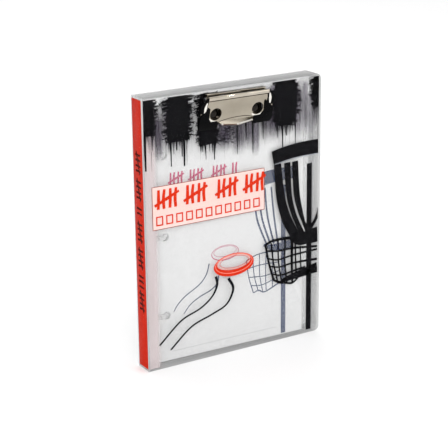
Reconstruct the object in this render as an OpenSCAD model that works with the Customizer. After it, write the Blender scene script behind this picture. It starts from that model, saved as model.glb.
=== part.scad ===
// Storage clipboard: a half-letter polypropylene case with three flat-band rings inside
// and a low-profile spring clip riveted to its front cover. The case stands on its bottom
// edge: +Z up, front cover towards -Y, spine towards -X, origin under the middle of the box.

/* [Case] */
// Width of the closed case, spine to fore-edge
case_w = 175; // [165:1:215]
// Height of the case
case_h = 236; // [222:1:290]
// Depth of the closed case, front face to back face
case_d = 18; // [17.6:0.2:24]
// Thickness of the moulded plates and walls
wall = 1.6; // [1.2:0.1:1.7]
// Outer radius of the two fore-edge corners
corner_r = 5; // [4.4:0.2:8]
// Thickness of each clear overlay film, and of each print under it
film = 0.2; // [0.12:0.02:0.24]

/* [Sheets] */
// Width of the score sheets
sheet_w = 148; // [120:1:150]
// Height of the score sheets
sheet_h = 222; // [190:1:224]
// Thickness of the stack behind the cover sheet
stack_t = 2.8; // [1:0.1:3]
// Lean of the stack towards the front cover, degrees
sheet_lean = 1.4; // [0.8:0.1:1.5]
// Diameter of the punched holes
hole_d = 7; // [6.8:0.1:8]

/* [Rings] */
// Distance between neighbouring rings
ring_pitch = 69.85; // [60:0.05:80]
// Height of each ring band along the spine
ring_band = 4; // [3:0.1:4.2]
// Thickness of each ring band
ring_t = 2; // [1.6:0.1:2.2]
// Width of a ring over its two limbs
ring_w = 18.5; // [17.5:0.1:19.5]

/* [Clip] */
// Width of the clip over its two grips
clip_w = 71.5; // [68:0.5:90]
// Distance between the two rivets
rivet_pitch = 40.6; // [39:0.2:44]
// Sheet-metal thickness of the jaw and base plate
metal = 0.9; // [0.7:0.1:1]

/* [Hidden] */
$fn = 64;
eps = 0.01;

// --- case: x from the spine's outer face, y from the front face, z from the bottom edge
skin = 2 * film;                  // overlay film and print, outside the moulded plate
web_r = 0.6;                      // radius of the round living-hinge web
web_gap = 0.15;                   // from the web to the panel's edge
land_x = 2 * web_r + web_gap;     // where a panel starts
land_w = 1.25;                    // width of the thin land beside the web
land_t = 0.8;                     // its thickness
in_face = skin + wall;            // depth of a plate's inner face
part_gap = 0.3;                   // slit between the front walls and the back plate
side_gap = 0.6;                   // rim to fore-edge wall
end_gap = 0.4;                    // rim to top and bottom walls
rim_t = 1.2;
rim_h = 8;
rim_x0 = 6.5;
wall_x0 = in_face + 0.3;          // where the top and bottom walls start, clear of the spine
wall_y1 = case_d - in_face - part_gap;
catch_l = 12;                     // length of each closing catch
catch_pitch = 94;
catch_back = 4.5;                 // from the back plate to the catches' middles
catch_r = 0.6;
catch_out = 0.3;                  // how far a catch stands out of the rim
notch_r = 16;                     // thumb notch in the fore-edge wall
notch_deep = 2.4;
film_in = 1;                      // margin from a film to the panel's outer edge
print_in = 2;                     // margin from a print to the panel's outer edge

// --- clip, measured outwards from the front face
clip_x = case_w / 2 - 0.8;       // the clip sits a little towards the spine
clip_foot_z = case_h - 34;        // lower edge of the clip
rod_r = 1.2;
rod_out = 4.2;
rod_z = case_h - 7.7;
bore_play = 0.05;                 // running clearance round a rod or pin
lean = 14.5;                      // slope of the jaw's face
face_out = 7.9;                   // jaw face in front of the rod's height
hem_r = 1.25;
hem_w = 1.2;                      // flat between the hem's two rounds
ear_x = 27.4;                     // base ears, from the clip's middle
flange_drop = 6;                  // how far the jaw's flanges reach below the rod
flange_x = 28.6;                  // jaw flanges, from the clip's middle
rivet_z = case_h - 20.7;
rivet_head_r = 3.9;
rivet_head_h = 1.3;
rivet_shank_r = 1.9;
access_r = 5.5;
tab_half = 17;                    // half the thumb tab's width
tab_deep = 5.9;                   // how far the tab's tip reaches from its crease
tab_side = 3.8;                   // and its two shoulders
tab_shoulder = 15;                // from the clip's middle to each shoulder
tab_z = case_h - 28;              // height of the tab's crease
tab_angle = 47;                   // tab's slope away from the board
hem_z = case_h - 6;               // the rolled hem at the jaw's top
hem_out = face_out + (hem_z - rod_z) * tan(lean);
face_l = (hem_z - clip_foot_z - 2) / cos(lean);
tab_down = (hem_z - tab_z) / cos(lean);
grip_t = 1.1;                     // rubber over the face of the jaw, and behind it
grip_foot = 9;                    // height of a grip's solid foot
grip_off = 0.3;                   // from the grips to the front face
wire_r = 0.45;
coil_r = rod_r + wire_r + 0.3;
coil_turns = 6;
leg_r = 0.42;
base_leg_l = 11;
base_leg_lean = 4;                // turns the leg's end towards the base plate
jaw_leg_l = 7;
coil_x = 14;                      // middle of each coil, from the clip's middle
tail_h = 0.7;                     // formed tail of a rivet, inside the cover
washer_t = 0.5;
washer_r = 4.5;
clip_depth = hem_out + hem_r;
grip_arm_x = rivet_pitch / 2 + access_r + 0.8;  // inner side of a grip's arm
grip_gap = 0.5;                   // from the base plate to the grips
ear_z = clip_foot_z + 20.6;       // the base plate's ears start above the grips

// --- sheets and rings
sheet_z0 = 3.6;                   // the sheets hang on the rings, clear of the bottom wall
leaf_t = 0.3;                     // cover sheet
leaf_gap = 0.1;
hole_sag = 0.7;                   // holes hang a little below the rings' middles
hole_inset = 12;                  // from a sheet's edge to its holes
base_t = 1.6;                     // thickness of the strip under the rings
ring_x0 = 4.5;
ring_x1 = ring_x0 + ring_w;
ring_mid_x = ring_x0 + ring_w / 2;
ring_y0 = in_face + 1;            // front of each ring
ring_y1 = case_d - in_face - base_t;
ring_mid_z = sheet_z0 + sheet_h / 2 + hole_sag;
ring_out_r = 5;
hole_x = ring_x1 - ring_t / 2;
sheet_x0 = hole_x - hole_inset;
sheet_y0 = ring_y0 + 3.2;         // front of the cover sheet at its spine edge
pin_r = 0.8;
pin_x = 9.5;
pin_y = ring_y1 - 1.6;
knuckle_r = 1.5;
knuckle_l = 8;
knuckle_gap = 0.2;
gate_over = 17;                   // how far the gate bar runs past the end rings
base_over = 22;                   // and the base strip
tongue_w = 2;                     // latch tongue on the gate's tip
tongue_l = 1.1;
tip_gap = 0.15;
stake_r = 1.5;
stake_head_r = 2.8;
stake_head_h = 0.7;

origin_y = (case_d - clip_depth) / 2;

module placed() { translate([-case_w / 2, -origin_y, 0]) children(); }

function ring_zs() = [for (i = [-1:1]) ring_mid_z + i * ring_pitch];

// A plate in the XZ plane with its two fore-edge corners rounded
module fore_plate(x0, x1, z0, z1, y0, y1, r) {
    translate([0, y1, 0]) rotate([90, 0, 0]) linear_extrude(y1 - y0) {
        translate([x0, z0]) square([x1 - r - x0, z1 - z0]);
        translate([x0, z0 + r]) square([x1 - x0, z1 - z0 - 2 * r]);
        for (z = [z0 + r, z1 - r]) translate([x1 - r, z]) circle(r);
    }
}

// Thin land beside a living hinge, the full height of the case
module land(y) { translate([land_x, y, 0]) cube([land_w + eps, land_t, case_h]); }

module snap_bar(r, x, y) {
    for (s = [-1, 1]) translate([x, y, case_h / 2 + s * catch_pitch / 2 - catch_l / 2])
        cylinder(r = r, h = catch_l);
}

module front_cover() {
    plate_x = land_x + land_w;
    color("gainsboro") placed() difference() {
        union() {
            land(skin);
            fore_plate(plate_x, case_w, 0, case_h, skin, in_face, corner_r);
            difference() {
                fore_plate(wall_x0, case_w, 0, case_h, skin, wall_y1, corner_r);
                fore_plate(0, case_w - wall, wall, case_h - wall, 0, case_d, corner_r - wall);
            }
        }
        for (s = [-1, 1]) translate([clip_x + s * rivet_pitch / 2, 0, rivet_z]) rotate([-90, 0, 0])
            cylinder(r = rivet_shank_r, h = case_d);
        snap_bar(catch_r, case_w - wall - side_gap + catch_out + 0.1, case_d - in_face - catch_back);
        translate([case_w - wall / 2, wall_y1 + notch_r - notch_deep, case_h / 2])
            rotate([0, 90, 0]) cylinder(r = notch_r, h = 2 * wall, center = true, $fn = 96);
    }
}

module back_cover() {
    plate_x = land_x + land_w;
    rim_x1 = case_w - wall - side_gap;
    rim_z = wall + end_gap;
    rim_r = corner_r - wall - end_gap;
    color("gainsboro") placed() {
        land(case_d - film - land_t);
        fore_plate(plate_x, case_w, 0, case_h, case_d - in_face, case_d - film, corner_r);
        difference() {
            union() {
                fore_plate(rim_x0, rim_x1, rim_z, case_h - rim_z, case_d - in_face - rim_h,
                    case_d - in_face + eps, rim_r);
                snap_bar(catch_r, rim_x1 + catch_out - catch_r, case_d - in_face - catch_back);
            }
            fore_plate(0, rim_x1 - rim_t, rim_z + rim_t, case_h - rim_z - rim_t, 0,
                case_d - in_face, rim_r - rim_t);
        }
    }
}

module spine_panel() {
    land_y = land_x + land_w;
    color("gainsboro") placed() {
        translate([skin, land_y, 0]) cube([wall, case_d - 2 * land_y, case_h]);
        translate([skin, land_x, 0]) cube([land_t, case_d - 2 * land_x, case_h]);
    }
}

module hinge_web(y) { placed() translate([web_r, y, 0]) cylinder(r = web_r, h = case_h, $fn = 32); }

module rear_hinge_web() { color("whitesmoke") hinge_web(case_d - web_r); }

module front_hinge_web() { color("whitesmoke") hinge_web(web_r); }

module rivet_holes(r) {
    for (s = [-1, 1]) translate([clip_x + s * rivet_pitch / 2, -clip_depth, rivet_z])
        rotate([-90, 0, 0]) cylinder(r = r, h = case_d);
}

module front_overlay_film() {
    color("aliceblue", 0.4) placed() difference() {
        fore_plate(land_x, case_w - film_in, film_in, case_h - film_in, 0, film,
            corner_r - film_in);
        rivet_holes(rivet_shank_r);
    }
}

module front_print() {
    color("dimgray") placed() difference() {
        fore_plate(land_x, case_w - print_in, print_in, case_h - print_in, film, skin,
            corner_r - print_in);
        rivet_holes(rivet_shank_r);
    }
}

module back_overlay_film() {
    color("aliceblue", 0.4) placed() fore_plate(land_x, case_w - film_in, film_in,
        case_h - film_in, case_d - film, case_d, corner_r - film_in);
}

module spine_strip(x, margin_y, margin_z) {
    placed() translate([x, margin_y, margin_z])
        cube([film, case_d - 2 * margin_y, case_h - 2 * margin_z]);
}

module spine_overlay_film() { color("aliceblue", 0.4) spine_strip(0, land_x, film_in); }

module spine_print() { color("orangered") spine_strip(film, land_x, print_in); }

// --- rings and sheets
module ring_arc(x, y, from, z) {
    translate([x, y, z - ring_band / 2]) rotate([0, 0, from])
        rotate_extrude(angle = 90) translate([ring_out_r - ring_t, 0]) square([ring_t, ring_band]);
}

module band(x0, x1, y0, y1, z, h = ring_band) {
    translate([x0, y0, z - h / 2]) cube([x1 - x0, y1 - y0, h]);
}

module ring_base() {
    z0 = ring_mid_z - ring_pitch - base_over;
    z1 = ring_mid_z + ring_pitch + base_over;
    color("gainsboro") placed() {
        difference() {
            translate([pin_x - 1.4, ring_y1, z0]) cube([ring_x1 - pin_x + 1.4, base_t, z1 - z0]);
            stakes(stake_r);
        }
        for (z = ring_zs()) {
            band(ring_x1 - ring_t, ring_x1, ring_y0 + ring_out_r, ring_y1 + eps, z);
            ring_arc(ring_x1 - ring_out_r, ring_y0 + ring_out_r, -90, z);
            difference() {
                band(ring_mid_x, ring_x1 - ring_out_r, ring_y0, ring_y0 + ring_t, z);
                band(ring_mid_x - 1, ring_mid_x + tongue_l + 2 * tip_gap, 0, case_d / 2, z,
                    tongue_w + 2 * tip_gap);
            }
        }
        for (z = base_knuckles()) difference() {
            union() {
                translate([pin_x, pin_y, z]) cylinder(r = knuckle_r, h = knuckle_l);
                translate([pin_x - 1.4, pin_y, z]) cube([2.8, ring_y1 - pin_y + eps, knuckle_l]);
            }
            translate([pin_x, pin_y, z - 1]) cylinder(r = pin_r, h = knuckle_l + 2);
        }
    }
}

// Knuckles sit either side of each ring: the base's outside, the gate's inside
function base_knuckles() = [for (z = ring_zs()) z - knuckle_l / 2];
function gate_knuckles() = [for (z = ring_zs(), s = [-1, 1])
    z + s * (knuckle_l + knuckle_gap) - knuckle_l / 2];

module ring_gate() {
    z0 = ring_mid_z - ring_pitch - gate_over;
    z1 = ring_mid_z + ring_pitch + gate_over;
    bar_y0 = pin_y - 3.4;
    color("whitesmoke") placed() {
        translate([ring_x0, bar_y0, z0]) cube([ring_t, pin_y + 0.8 - bar_y0, z1 - z0]);
        for (z = ring_zs()) {
            band(ring_x0, ring_x0 + ring_t, ring_y0 + ring_out_r, bar_y0 + eps, z);
            ring_arc(ring_x0 + ring_out_r, ring_y0 + ring_out_r, 180, z);
            band(ring_x0 + ring_out_r, ring_mid_x - tip_gap, ring_y0, ring_y0 + ring_t, z);
            band(ring_mid_x - 1, ring_mid_x + tongue_l, ring_y0 + 0.6, ring_y0 + ring_t, z,
                tongue_w);
        }
        for (z = gate_knuckles()) difference() {
            union() {
                translate([pin_x, pin_y, z]) cylinder(r = knuckle_r, h = knuckle_l);
                translate([ring_x0 + ring_t - eps, pin_y - 0.8, z])
                    cube([pin_x - ring_x0 - ring_t, 1.6, knuckle_l]);
            }
            translate([pin_x, pin_y, z - 1])
                cylinder(r = pin_r + bore_play, h = knuckle_l + 2);
        }
        // Thumb tabs at both ends of the bar
        for (z = [z0, z1 - 11]) difference() {
            translate([ring_x0, bar_y0 - 3.2, z]) cube([ring_t, 3.2 + eps, 11]);
            for (k = [2.5:2:8.5]) translate([ring_x0, bar_y0 - 2.8, z + k])
                rotate([-90, 0, 0]) cylinder(r = 0.5, h = 2.4, $fn = 24);
        }
    }
}

module gate_hinge_pin() {
    z0 = ring_mid_z - ring_pitch - 1.5 * knuckle_l - knuckle_gap;
    color("silver") placed() translate([pin_x, pin_y, z0 - 1])
        cylinder(r = pin_r, h = 2 * (ring_mid_z - z0) + 2);
}

module stakes(r) {
    for (s = [-1.3, -0.5, 0.5, 1.3]) translate([ring_mid_x + 3, case_d - in_face,
        ring_mid_z + s * ring_pitch]) rotate([90, 0, 0]) cylinder(r = r, h = base_t);
}

module ring_base_stakes() {
    color("gainsboro") placed() {
        stakes(stake_r);
        for (s = [-1.3, -0.5, 0.5, 1.3]) translate([ring_mid_x + 3, ring_y1,
            ring_mid_z + s * ring_pitch]) rotate([90, 0, 0])
            cylinder(r1 = stake_head_r, r2 = stake_head_r - 0.5, h = stake_head_h);
    }
}

// A stack of punched sheets from depth a to depth b behind the cover sheet's face
module punched(a, b) {
    placed() translate([sheet_x0, sheet_y0, 0]) rotate([0, 0, -sheet_lean]) difference() {
        translate([0, a, sheet_z0]) cube([sheet_w, b - a, sheet_h]);
        for (z = ring_zs()) translate([hole_x - sheet_x0, -1, z - hole_sag])
            rotate([-90, 0, 0]) cylinder(r = hole_d / 2, h = stack_t + 3);
    }
}

module cover_sheet() { color("white") punched(0, leaf_t); }

module score_sheets() { color("ivory") punched(leaf_t + leaf_gap, leaf_t + leaf_gap + stack_t); }

// --- clip: out() turns (outwards, height) outlines into the YZ plane and extrudes them along X
module out(x0, x1) {
    translate([x0, 0, 0]) rotate([90, 0, 90]) linear_extrude(x1 - x0) mirror([1, 0]) children();
}

module at_clip() { placed() translate([clip_x, 0, 0]) children(); }

// Outline of the base plate: it steps out above the grips
module base_outline(top_z) {
    foot_z = clip_foot_z + 7;
    arm = grip_arm_x - grip_gap;
    full = ear_x + metal;
    half = [[arm - 2.5, foot_z], [arm, foot_z + 3.4], [arm, ear_z], [full, ear_z], [full, top_z]];
    polygon([for (p = half) p, for (i = [4:-1:0]) [-half[i][0], half[i][1]]]);
}

module clip_base_plate() {
    base_half = ear_x + metal;
    top_z = case_h - 3.4;
    color("silver") at_clip() {
        difference() {
            rotate([90, 0, 0]) linear_extrude(metal) base_outline(top_z);
            for (s = [-1, 1]) translate([s * rivet_pitch / 2, 1, rivet_z]) rotate([90, 0, 0])
                cylinder(r = rivet_shank_r, h = 4);
        }
        // Top flange, with a small locating notch in its edge
        difference() {
            out(-base_half, base_half) translate([0, top_z - metal])
                square([rod_out + 0.8, metal]);
            translate([4.8, -rod_out - 0.8, top_z - 2 * metal]) cylinder(r = 1, h = 3 * metal);
        }
        for (s = [-1, 1]) out(min(s * ear_x, s * base_half), max(s * ear_x, s * base_half))
            difference() {
                union() {
                    translate([0, ear_z]) square([1.8, 3]);
                    translate([0, rod_z - 2.4]) square([rod_out, top_z - rod_z + 2.4]);
                    translate([rod_out, rod_z]) circle(2.4);
                }
                translate([rod_out, rod_z]) circle(rod_r);
            }
        // Raised pressing that the papers are clamped against
        for (x = [-13, 13]) out(x - 5, x + 5) translate([metal, clip_foot_z + 10]) circle(0.6);
    }
}

// Outline of the jaw's face, in its own plane: x across, distance down from the hem
module face_outline() {
    top_half = flange_x + metal + 0.15;
    low_half = clip_w / 2 - 1;
    polygon([[-top_half, 0], [top_half, 0], [top_half, -3.5], [low_half, -10],
        [low_half, -face_l + 2.5], [low_half - 2.5, -face_l], [-low_half + 2.5, -face_l],
        [-low_half, -face_l + 2.5], [-low_half, -10], [-top_half, -3.5]]);
}

// The jaw's leaning plane: x across, y along the face (negative downwards), z outwards
module on_face() {
    translate([0, -hem_out, hem_z]) rotate([90 + lean, 0, 0]) children();
}

module clip_jaw() {
    color("silver") at_clip() {
        on_face() difference() {
            translate([0, 0, -metal]) linear_extrude(metal) difference() {
                face_outline();
                for (s = [-1, 1]) translate([s * rivet_pitch / 2,
                    -(hem_z - rivet_z) / cos(lean)]) circle(access_r);
                translate([-tab_half, -face_l - 1]) square([2 * tab_half, face_l + 1 - tab_down]);
            }
        }
        // Thumb tab: a shallow point that slopes away from the board, with a round crease
        on_face() translate([0, -tab_down, -metal / 2]) {
            rotate([-lean - tab_angle, 0, 0]) translate([0, 0, -metal / 2])
                linear_extrude(metal) polygon([[-tab_half, 0], [-tab_shoulder, -tab_side],
                    [0, -tab_deep], [tab_shoulder, -tab_side], [tab_half, 0]]);
            rotate([0, 90, 0]) cylinder(r = metal / 2 + 0.03, h = 2 * tab_half - 1, center = true);
        }
        // Folded hem, proud of the face
        on_face() rotate([0, 90, 0]) for (y = [0, -hem_w]) translate([0, y, 0])
            cylinder(r = hem_r, h = 2 * flange_x + metal, center = true);
        on_face() translate([-flange_x - metal / 2, -hem_w, -hem_r])
            cube([2 * flange_x + metal, hem_w, 2 * hem_r]);
        for (s = [-1, 1]) jaw_flange(s);
    }
}

module jaw_flange(s) {
    x0 = s > 0 ? flange_x : -flange_x - metal;
    inner = metal / cos(lean);
    function face_at(z) = face_out - inner + (z - rod_z) * tan(lean) + 0.2;
    out(x0, x0 + metal) difference() {
        union() {
            translate([rod_out, rod_z]) circle(2.3);
            polygon([[rod_out - 2.3, rod_z], [rod_out - 1.6, rod_z + 1.65],
                [face_at(hem_z - 0.3), hem_z - 0.3],
                [face_at(rod_z - flange_drop), rod_z - flange_drop], [1.9, rod_z - flange_drop]]);
        }
        translate([rod_out, rod_z]) circle(rod_r + bore_play);
    }
}

module clip_hinge_rod() {
    half = flange_x + metal + 0.5;
    color("gray") at_clip() translate([0, -rod_out, rod_z]) rotate([0, 90, 0]) {
        cylinder(r = rod_r, h = 2 * half, center = true);
        for (s = [-1, 1]) translate([0, 0, s * (half + 0.3)])
            cylinder(r = rod_r + 0.7, h = 0.8, center = true);
    }
}

// A torsion spring: close-wound turns, one leg to the base and one to the jaw's face
module clip_spring(s) {
    pitch = 2 * wire_r;
    half = coil_turns * pitch / 2;
    color("dimgray") at_clip() translate([s * coil_x, -rod_out, rod_z]) {
        rotate([0, 90, 0]) rotate_extrude() {
            for (i = [0:coil_turns - 1]) translate([coil_r, (i + 0.5) * pitch - half])
                circle(wire_r);
            translate([coil_r - wire_r / 2, wire_r - half]) square([wire_r, 2 * (half - wire_r)]);
        }
        translate([half - wire_r, coil_r, 0]) rotate([180 + base_leg_lean, 0, 0])
            cylinder(r = leg_r, h = base_leg_l);
        rotate([lean, 0, 0]) translate([wire_r - half, -coil_r, 0]) rotate([180, 0, 0])
            cylinder(r = leg_r, h = jaw_leg_l);
    }
}

module clip_spring_left() { clip_spring(-1); }

module clip_spring_right() { clip_spring(1); }

module clip_rivets() {
    color("silver") at_clip() for (s = [-1, 1]) translate([s * rivet_pitch / 2, 0, rivet_z])
        rotate([-90, 0, 0]) {
            translate([0, 0, -metal]) cylinder(r = rivet_shank_r, h = metal + in_face + washer_t);
            translate([0, 0, -metal]) rotate([180, 0, 0]) rivet_dome();
            translate([0, 0, in_face + washer_t]) cylinder(r1 = 3.1, r2 = 2.4, h = tail_h);
        }
}

// Low domed head: a cap of a sphere on a short straight rim
module rivet_dome() {
    rim = 0.4;
    rise = rivet_head_h - rim;
    ball_r = (rivet_head_r * rivet_head_r + rise * rise) / (2 * rise);
    cylinder(r = rivet_head_r, h = rim);
    translate([0, 0, rim]) intersection() {
        translate([0, 0, rise - ball_r]) sphere(ball_r, $fn = 96);
        cylinder(r = rivet_head_r, h = rise + 1);
    }
}

module clip_washers() {
    color("silver") at_clip() for (s = [-1, 1])
        translate([s * rivet_pitch / 2, in_face, rivet_z]) rotate([-90, 0, 0]) difference() {
            cylinder(r = washer_r, h = washer_t);
            translate([0, 0, -1]) cylinder(r = rivet_shank_r, h = washer_t + 2);
        }
}

// L-shaped rubber cap on a lower corner of the jaw, with a foot that reaches to the board
module jaw_grip(s) {
    outer = clip_w / 2;
    color("black") at_clip() mirror([s < 0 ? 1 : 0, 0, 0]) difference() {
        translate([0, -grip_off, 0]) rotate([90, 0, 0]) linear_extrude(clip_depth)
            grip_outline(outer);
        on_face() translate([0, -60, grip_t]) cube([60, 120, 60]);
        on_face() translate([0, grip_foot - face_l, -60 - metal - grip_t]) cube([60, 60, 60]);
        on_face() translate([0, 0, -metal]) linear_extrude(metal) face_outline();
    }
}

// The arm's top slopes down to its outer side
module grip_outline(outer) {
    foot_x = 17.6;
    z0 = clip_foot_z;
    polygon([[foot_x, z0 + 6.6], [foot_x, z0 + 1.5], [foot_x + 1.5, z0], [outer - 3, z0],
        [outer - 0.9, z0 + 0.9], [outer, z0 + 3], [outer, z0 + 11.8], [outer - 0.8, z0 + 13.2],
        [grip_arm_x + 1.4, z0 + 19.6], [grip_arm_x, z0 + 18.9], [grip_arm_x, z0 + 10],
        [grip_arm_x - 2.5, z0 + 6.6]]);
}

module jaw_grip_left() { jaw_grip(-1); }

module jaw_grip_right() { jaw_grip(1); }

back_cover();
spine_panel();
front_cover();
rear_hinge_web();
front_hinge_web();
front_overlay_film();
spine_overlay_film();
back_overlay_film();
front_print();
spine_print();
ring_base();
ring_gate();
gate_hinge_pin();
ring_base_stakes();
score_sheets();
cover_sheet();
clip_base_plate();
clip_jaw();
clip_hinge_rod();
clip_spring_left();
clip_spring_right();
clip_rivets();
clip_washers();
jaw_grip_left();
jaw_grip_right();
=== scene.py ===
"""Looks of a storage clipboard: a frosted polypropylene ring case with a printed cover and a clip.

Lengths inside the classes are millimetres in the case's own frame: x from the spine's outer
face, y from the front face into the case, z from the bottom edge. Everything that reaches
Blender is in metres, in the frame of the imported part.
"""

import logging
import math
import random
from dataclasses import dataclass
from enum import Enum
from typing import Any, Sequence

import bmesh
import bpy
from mathutils import Matrix, Vector


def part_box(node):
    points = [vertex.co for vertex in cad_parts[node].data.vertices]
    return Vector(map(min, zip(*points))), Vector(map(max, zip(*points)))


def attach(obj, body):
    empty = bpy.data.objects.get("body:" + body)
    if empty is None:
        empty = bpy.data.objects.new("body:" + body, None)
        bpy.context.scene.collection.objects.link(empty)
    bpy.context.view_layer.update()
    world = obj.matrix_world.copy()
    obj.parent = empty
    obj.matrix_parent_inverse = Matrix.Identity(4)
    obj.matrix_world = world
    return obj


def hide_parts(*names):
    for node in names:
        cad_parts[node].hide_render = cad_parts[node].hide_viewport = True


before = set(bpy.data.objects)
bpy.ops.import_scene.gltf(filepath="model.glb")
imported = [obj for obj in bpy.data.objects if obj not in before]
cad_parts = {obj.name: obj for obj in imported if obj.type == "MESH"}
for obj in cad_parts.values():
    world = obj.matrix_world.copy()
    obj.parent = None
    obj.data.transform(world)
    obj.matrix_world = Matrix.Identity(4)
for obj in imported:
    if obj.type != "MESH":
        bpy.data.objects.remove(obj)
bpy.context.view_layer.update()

MM = 0.001
WELD = 1e-6  # metres within which loose corners are one corner
INK_FILM = 0.012  # thickness of a printed layer
LEVEL_STEP, LEVELS = 0.0022, 9  # shapes in one drawing lie this much above each other

log = logging.getLogger("storage_clipboard")


# --- small helpers ---------------------------------------------------------------------------


def linear(code: str) -> tuple[float, float, float, float]:
    """Turns an sRGB hex colour to linear light.

    Args:
        code: colour such as "#C8C8C6".

    Returns:
        Red, green, blue and an alpha of 1, as shader sockets take them.
    """
    raw = [int(code[i : i + 2], 16) / 255 for i in (1, 3, 5)]
    lin = [c / 12.92 if c <= 0.04045 else ((c + 0.055) / 1.055) ** 2.4 for c in raw]
    return lin[0], lin[1], lin[2], 1.0


def add(tree: bpy.types.NodeTree, kind: str, inputs: dict | None = None, **settings: Any) -> Any:
    """Adds one shader node with its settings, values and links.

    Args:
        tree: node tree that takes the node.
        kind: the node's type name.
        inputs: socket name or number, and its value or the output that feeds it.
        settings: properties of the node, such as operation or data_type.

    Returns:
        The new node.
    """
    node = tree.nodes.new(kind)
    for key, value in settings.items():
        setattr(node, key, value)
    for key, value in (inputs or {}).items():
        if isinstance(value, bpy.types.NodeSocket):
            tree.links.new(value, node.inputs[key])
        else:
            node.inputs[key].default_value = value
    return node


def piece_from(bm: bmesh.types.BMesh, name: str, finish: "Finish") -> bpy.types.Object:
    """Makes an object at the origin from a finished bmesh and frees the bmesh.

    Args:
        bm: mesh whose corners are in metres, in the part's frame.
        name: the piece's name.
        finish: the surface it gets.

    Returns:
        The new object, linked to the scene.
    """
    mesh = bpy.data.meshes.new(name)
    bm.to_mesh(mesh)
    bm.free()
    mesh.materials.append(finish.material())
    piece = bpy.data.objects.new(name, mesh)
    bpy.context.scene.collection.objects.link(piece)
    return piece


def mount(piece: bpy.types.Object, body: str, slot: str, *nodes: str) -> bpy.types.Object:
    """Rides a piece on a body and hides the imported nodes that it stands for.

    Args:
        piece: the finished piece.
        body: body that it moves with.
        slot: the record's material slot; not used.
        nodes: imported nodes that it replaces.

    Returns:
        The same piece.
    """
    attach(piece, body)
    if nodes:
        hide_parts(*nodes)
    tris = sum(len(p.vertices) - 2 for p in piece.data.polygons)
    log.info("%s on %s: %d triangles before modifiers", piece.name, body, tris)
    return piece


def soften(piece: bpy.types.Object, width: float, segments: int = 2, angle: float = 30) -> None:
    """Rounds a piece's sharp edges with a live bevel.

    Args:
        piece: the piece.
        width: bevel width in millimetres.
        segments: strips across each rounded edge.
        angle: edges that turn less than this many degrees stay as they are.
    """
    piece.data.shade_smooth()
    bevel = piece.modifiers.new("eased_edges", "BEVEL")
    bevel.width = width * MM
    bevel.segments = segments
    bevel.profile = 0.5
    bevel.limit_method = "ANGLE"
    bevel.angle_limit = math.radians(angle)
    bevel.harden_normals = True


def eased_copy(
    node: str, name: str, finish: "Finish", width: float, segments: int = 2
) -> bpy.types.Object:
    """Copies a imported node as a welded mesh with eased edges.

    Args:
        node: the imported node.
        name: the new piece's name.
        finish: the surface it gets.
        width: how far its edges are rounded, in millimetres.
        segments: strips across each rounded edge.

    Returns:
        The new piece, which still has to ride on a body.
    """
    bm = bmesh.new()
    bm.from_mesh(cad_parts[node].data)
    bmesh.ops.remove_doubles(bm, verts=bm.verts, dist=WELD)
    bmesh.ops.dissolve_limit(
        bm, angle_limit=math.radians(0.5), verts=bm.verts, edges=bm.edges, delimit={"NORMAL"}
    )
    piece = piece_from(bm, name, finish)
    soften(piece, width, segments)
    return piece


def dress(node: str, finish: "Finish") -> None:
    """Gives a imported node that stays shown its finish.

    Args:
        node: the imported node.
        finish: the surface it gets.
    """
    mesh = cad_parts[node].data
    mesh.materials.clear()
    mesh.materials.append(finish.material())
    log.info("%s dressed in %s", node, finish.name)


# --- finishes --------------------------------------------------------------------------------

HAZE_MAP = "soft_edges"
HAZE_DENSITY = "haze_ink"
USEFUL = (0.3, 0.7)  # a pattern seldom leaves this range, which is stretched to the whole
STACK_LEAN = math.radians(1.4)  # of the sheets on their rings


@dataclass(frozen=True)
class Pattern:
    """A cloudy pattern that stays with the piece."""

    scale: float  # patterns per metre
    detail: float = 2.0
    stretch: tuple[float, float, float] = (1, 1, 1)  # factors on the scale along x, y and z

    def value(self, tree: bpy.types.NodeTree) -> bpy.types.NodeSocket:
        """Builds the pattern.

        Args:
            tree: the material's node tree.

        Returns:
            The pattern's value, from 0 to 1.
        """
        at = add(tree, "ShaderNodeTexCoord").outputs["Object"]
        placed = add(tree, "ShaderNodeMapping", {"Vector": at, "Scale": self.stretch})
        return add(
            tree,
            "ShaderNodeTexNoise",
            {"Vector": placed.outputs[0], "Scale": self.scale, "Detail": self.detail},
        ).outputs["Fac"]


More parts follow.
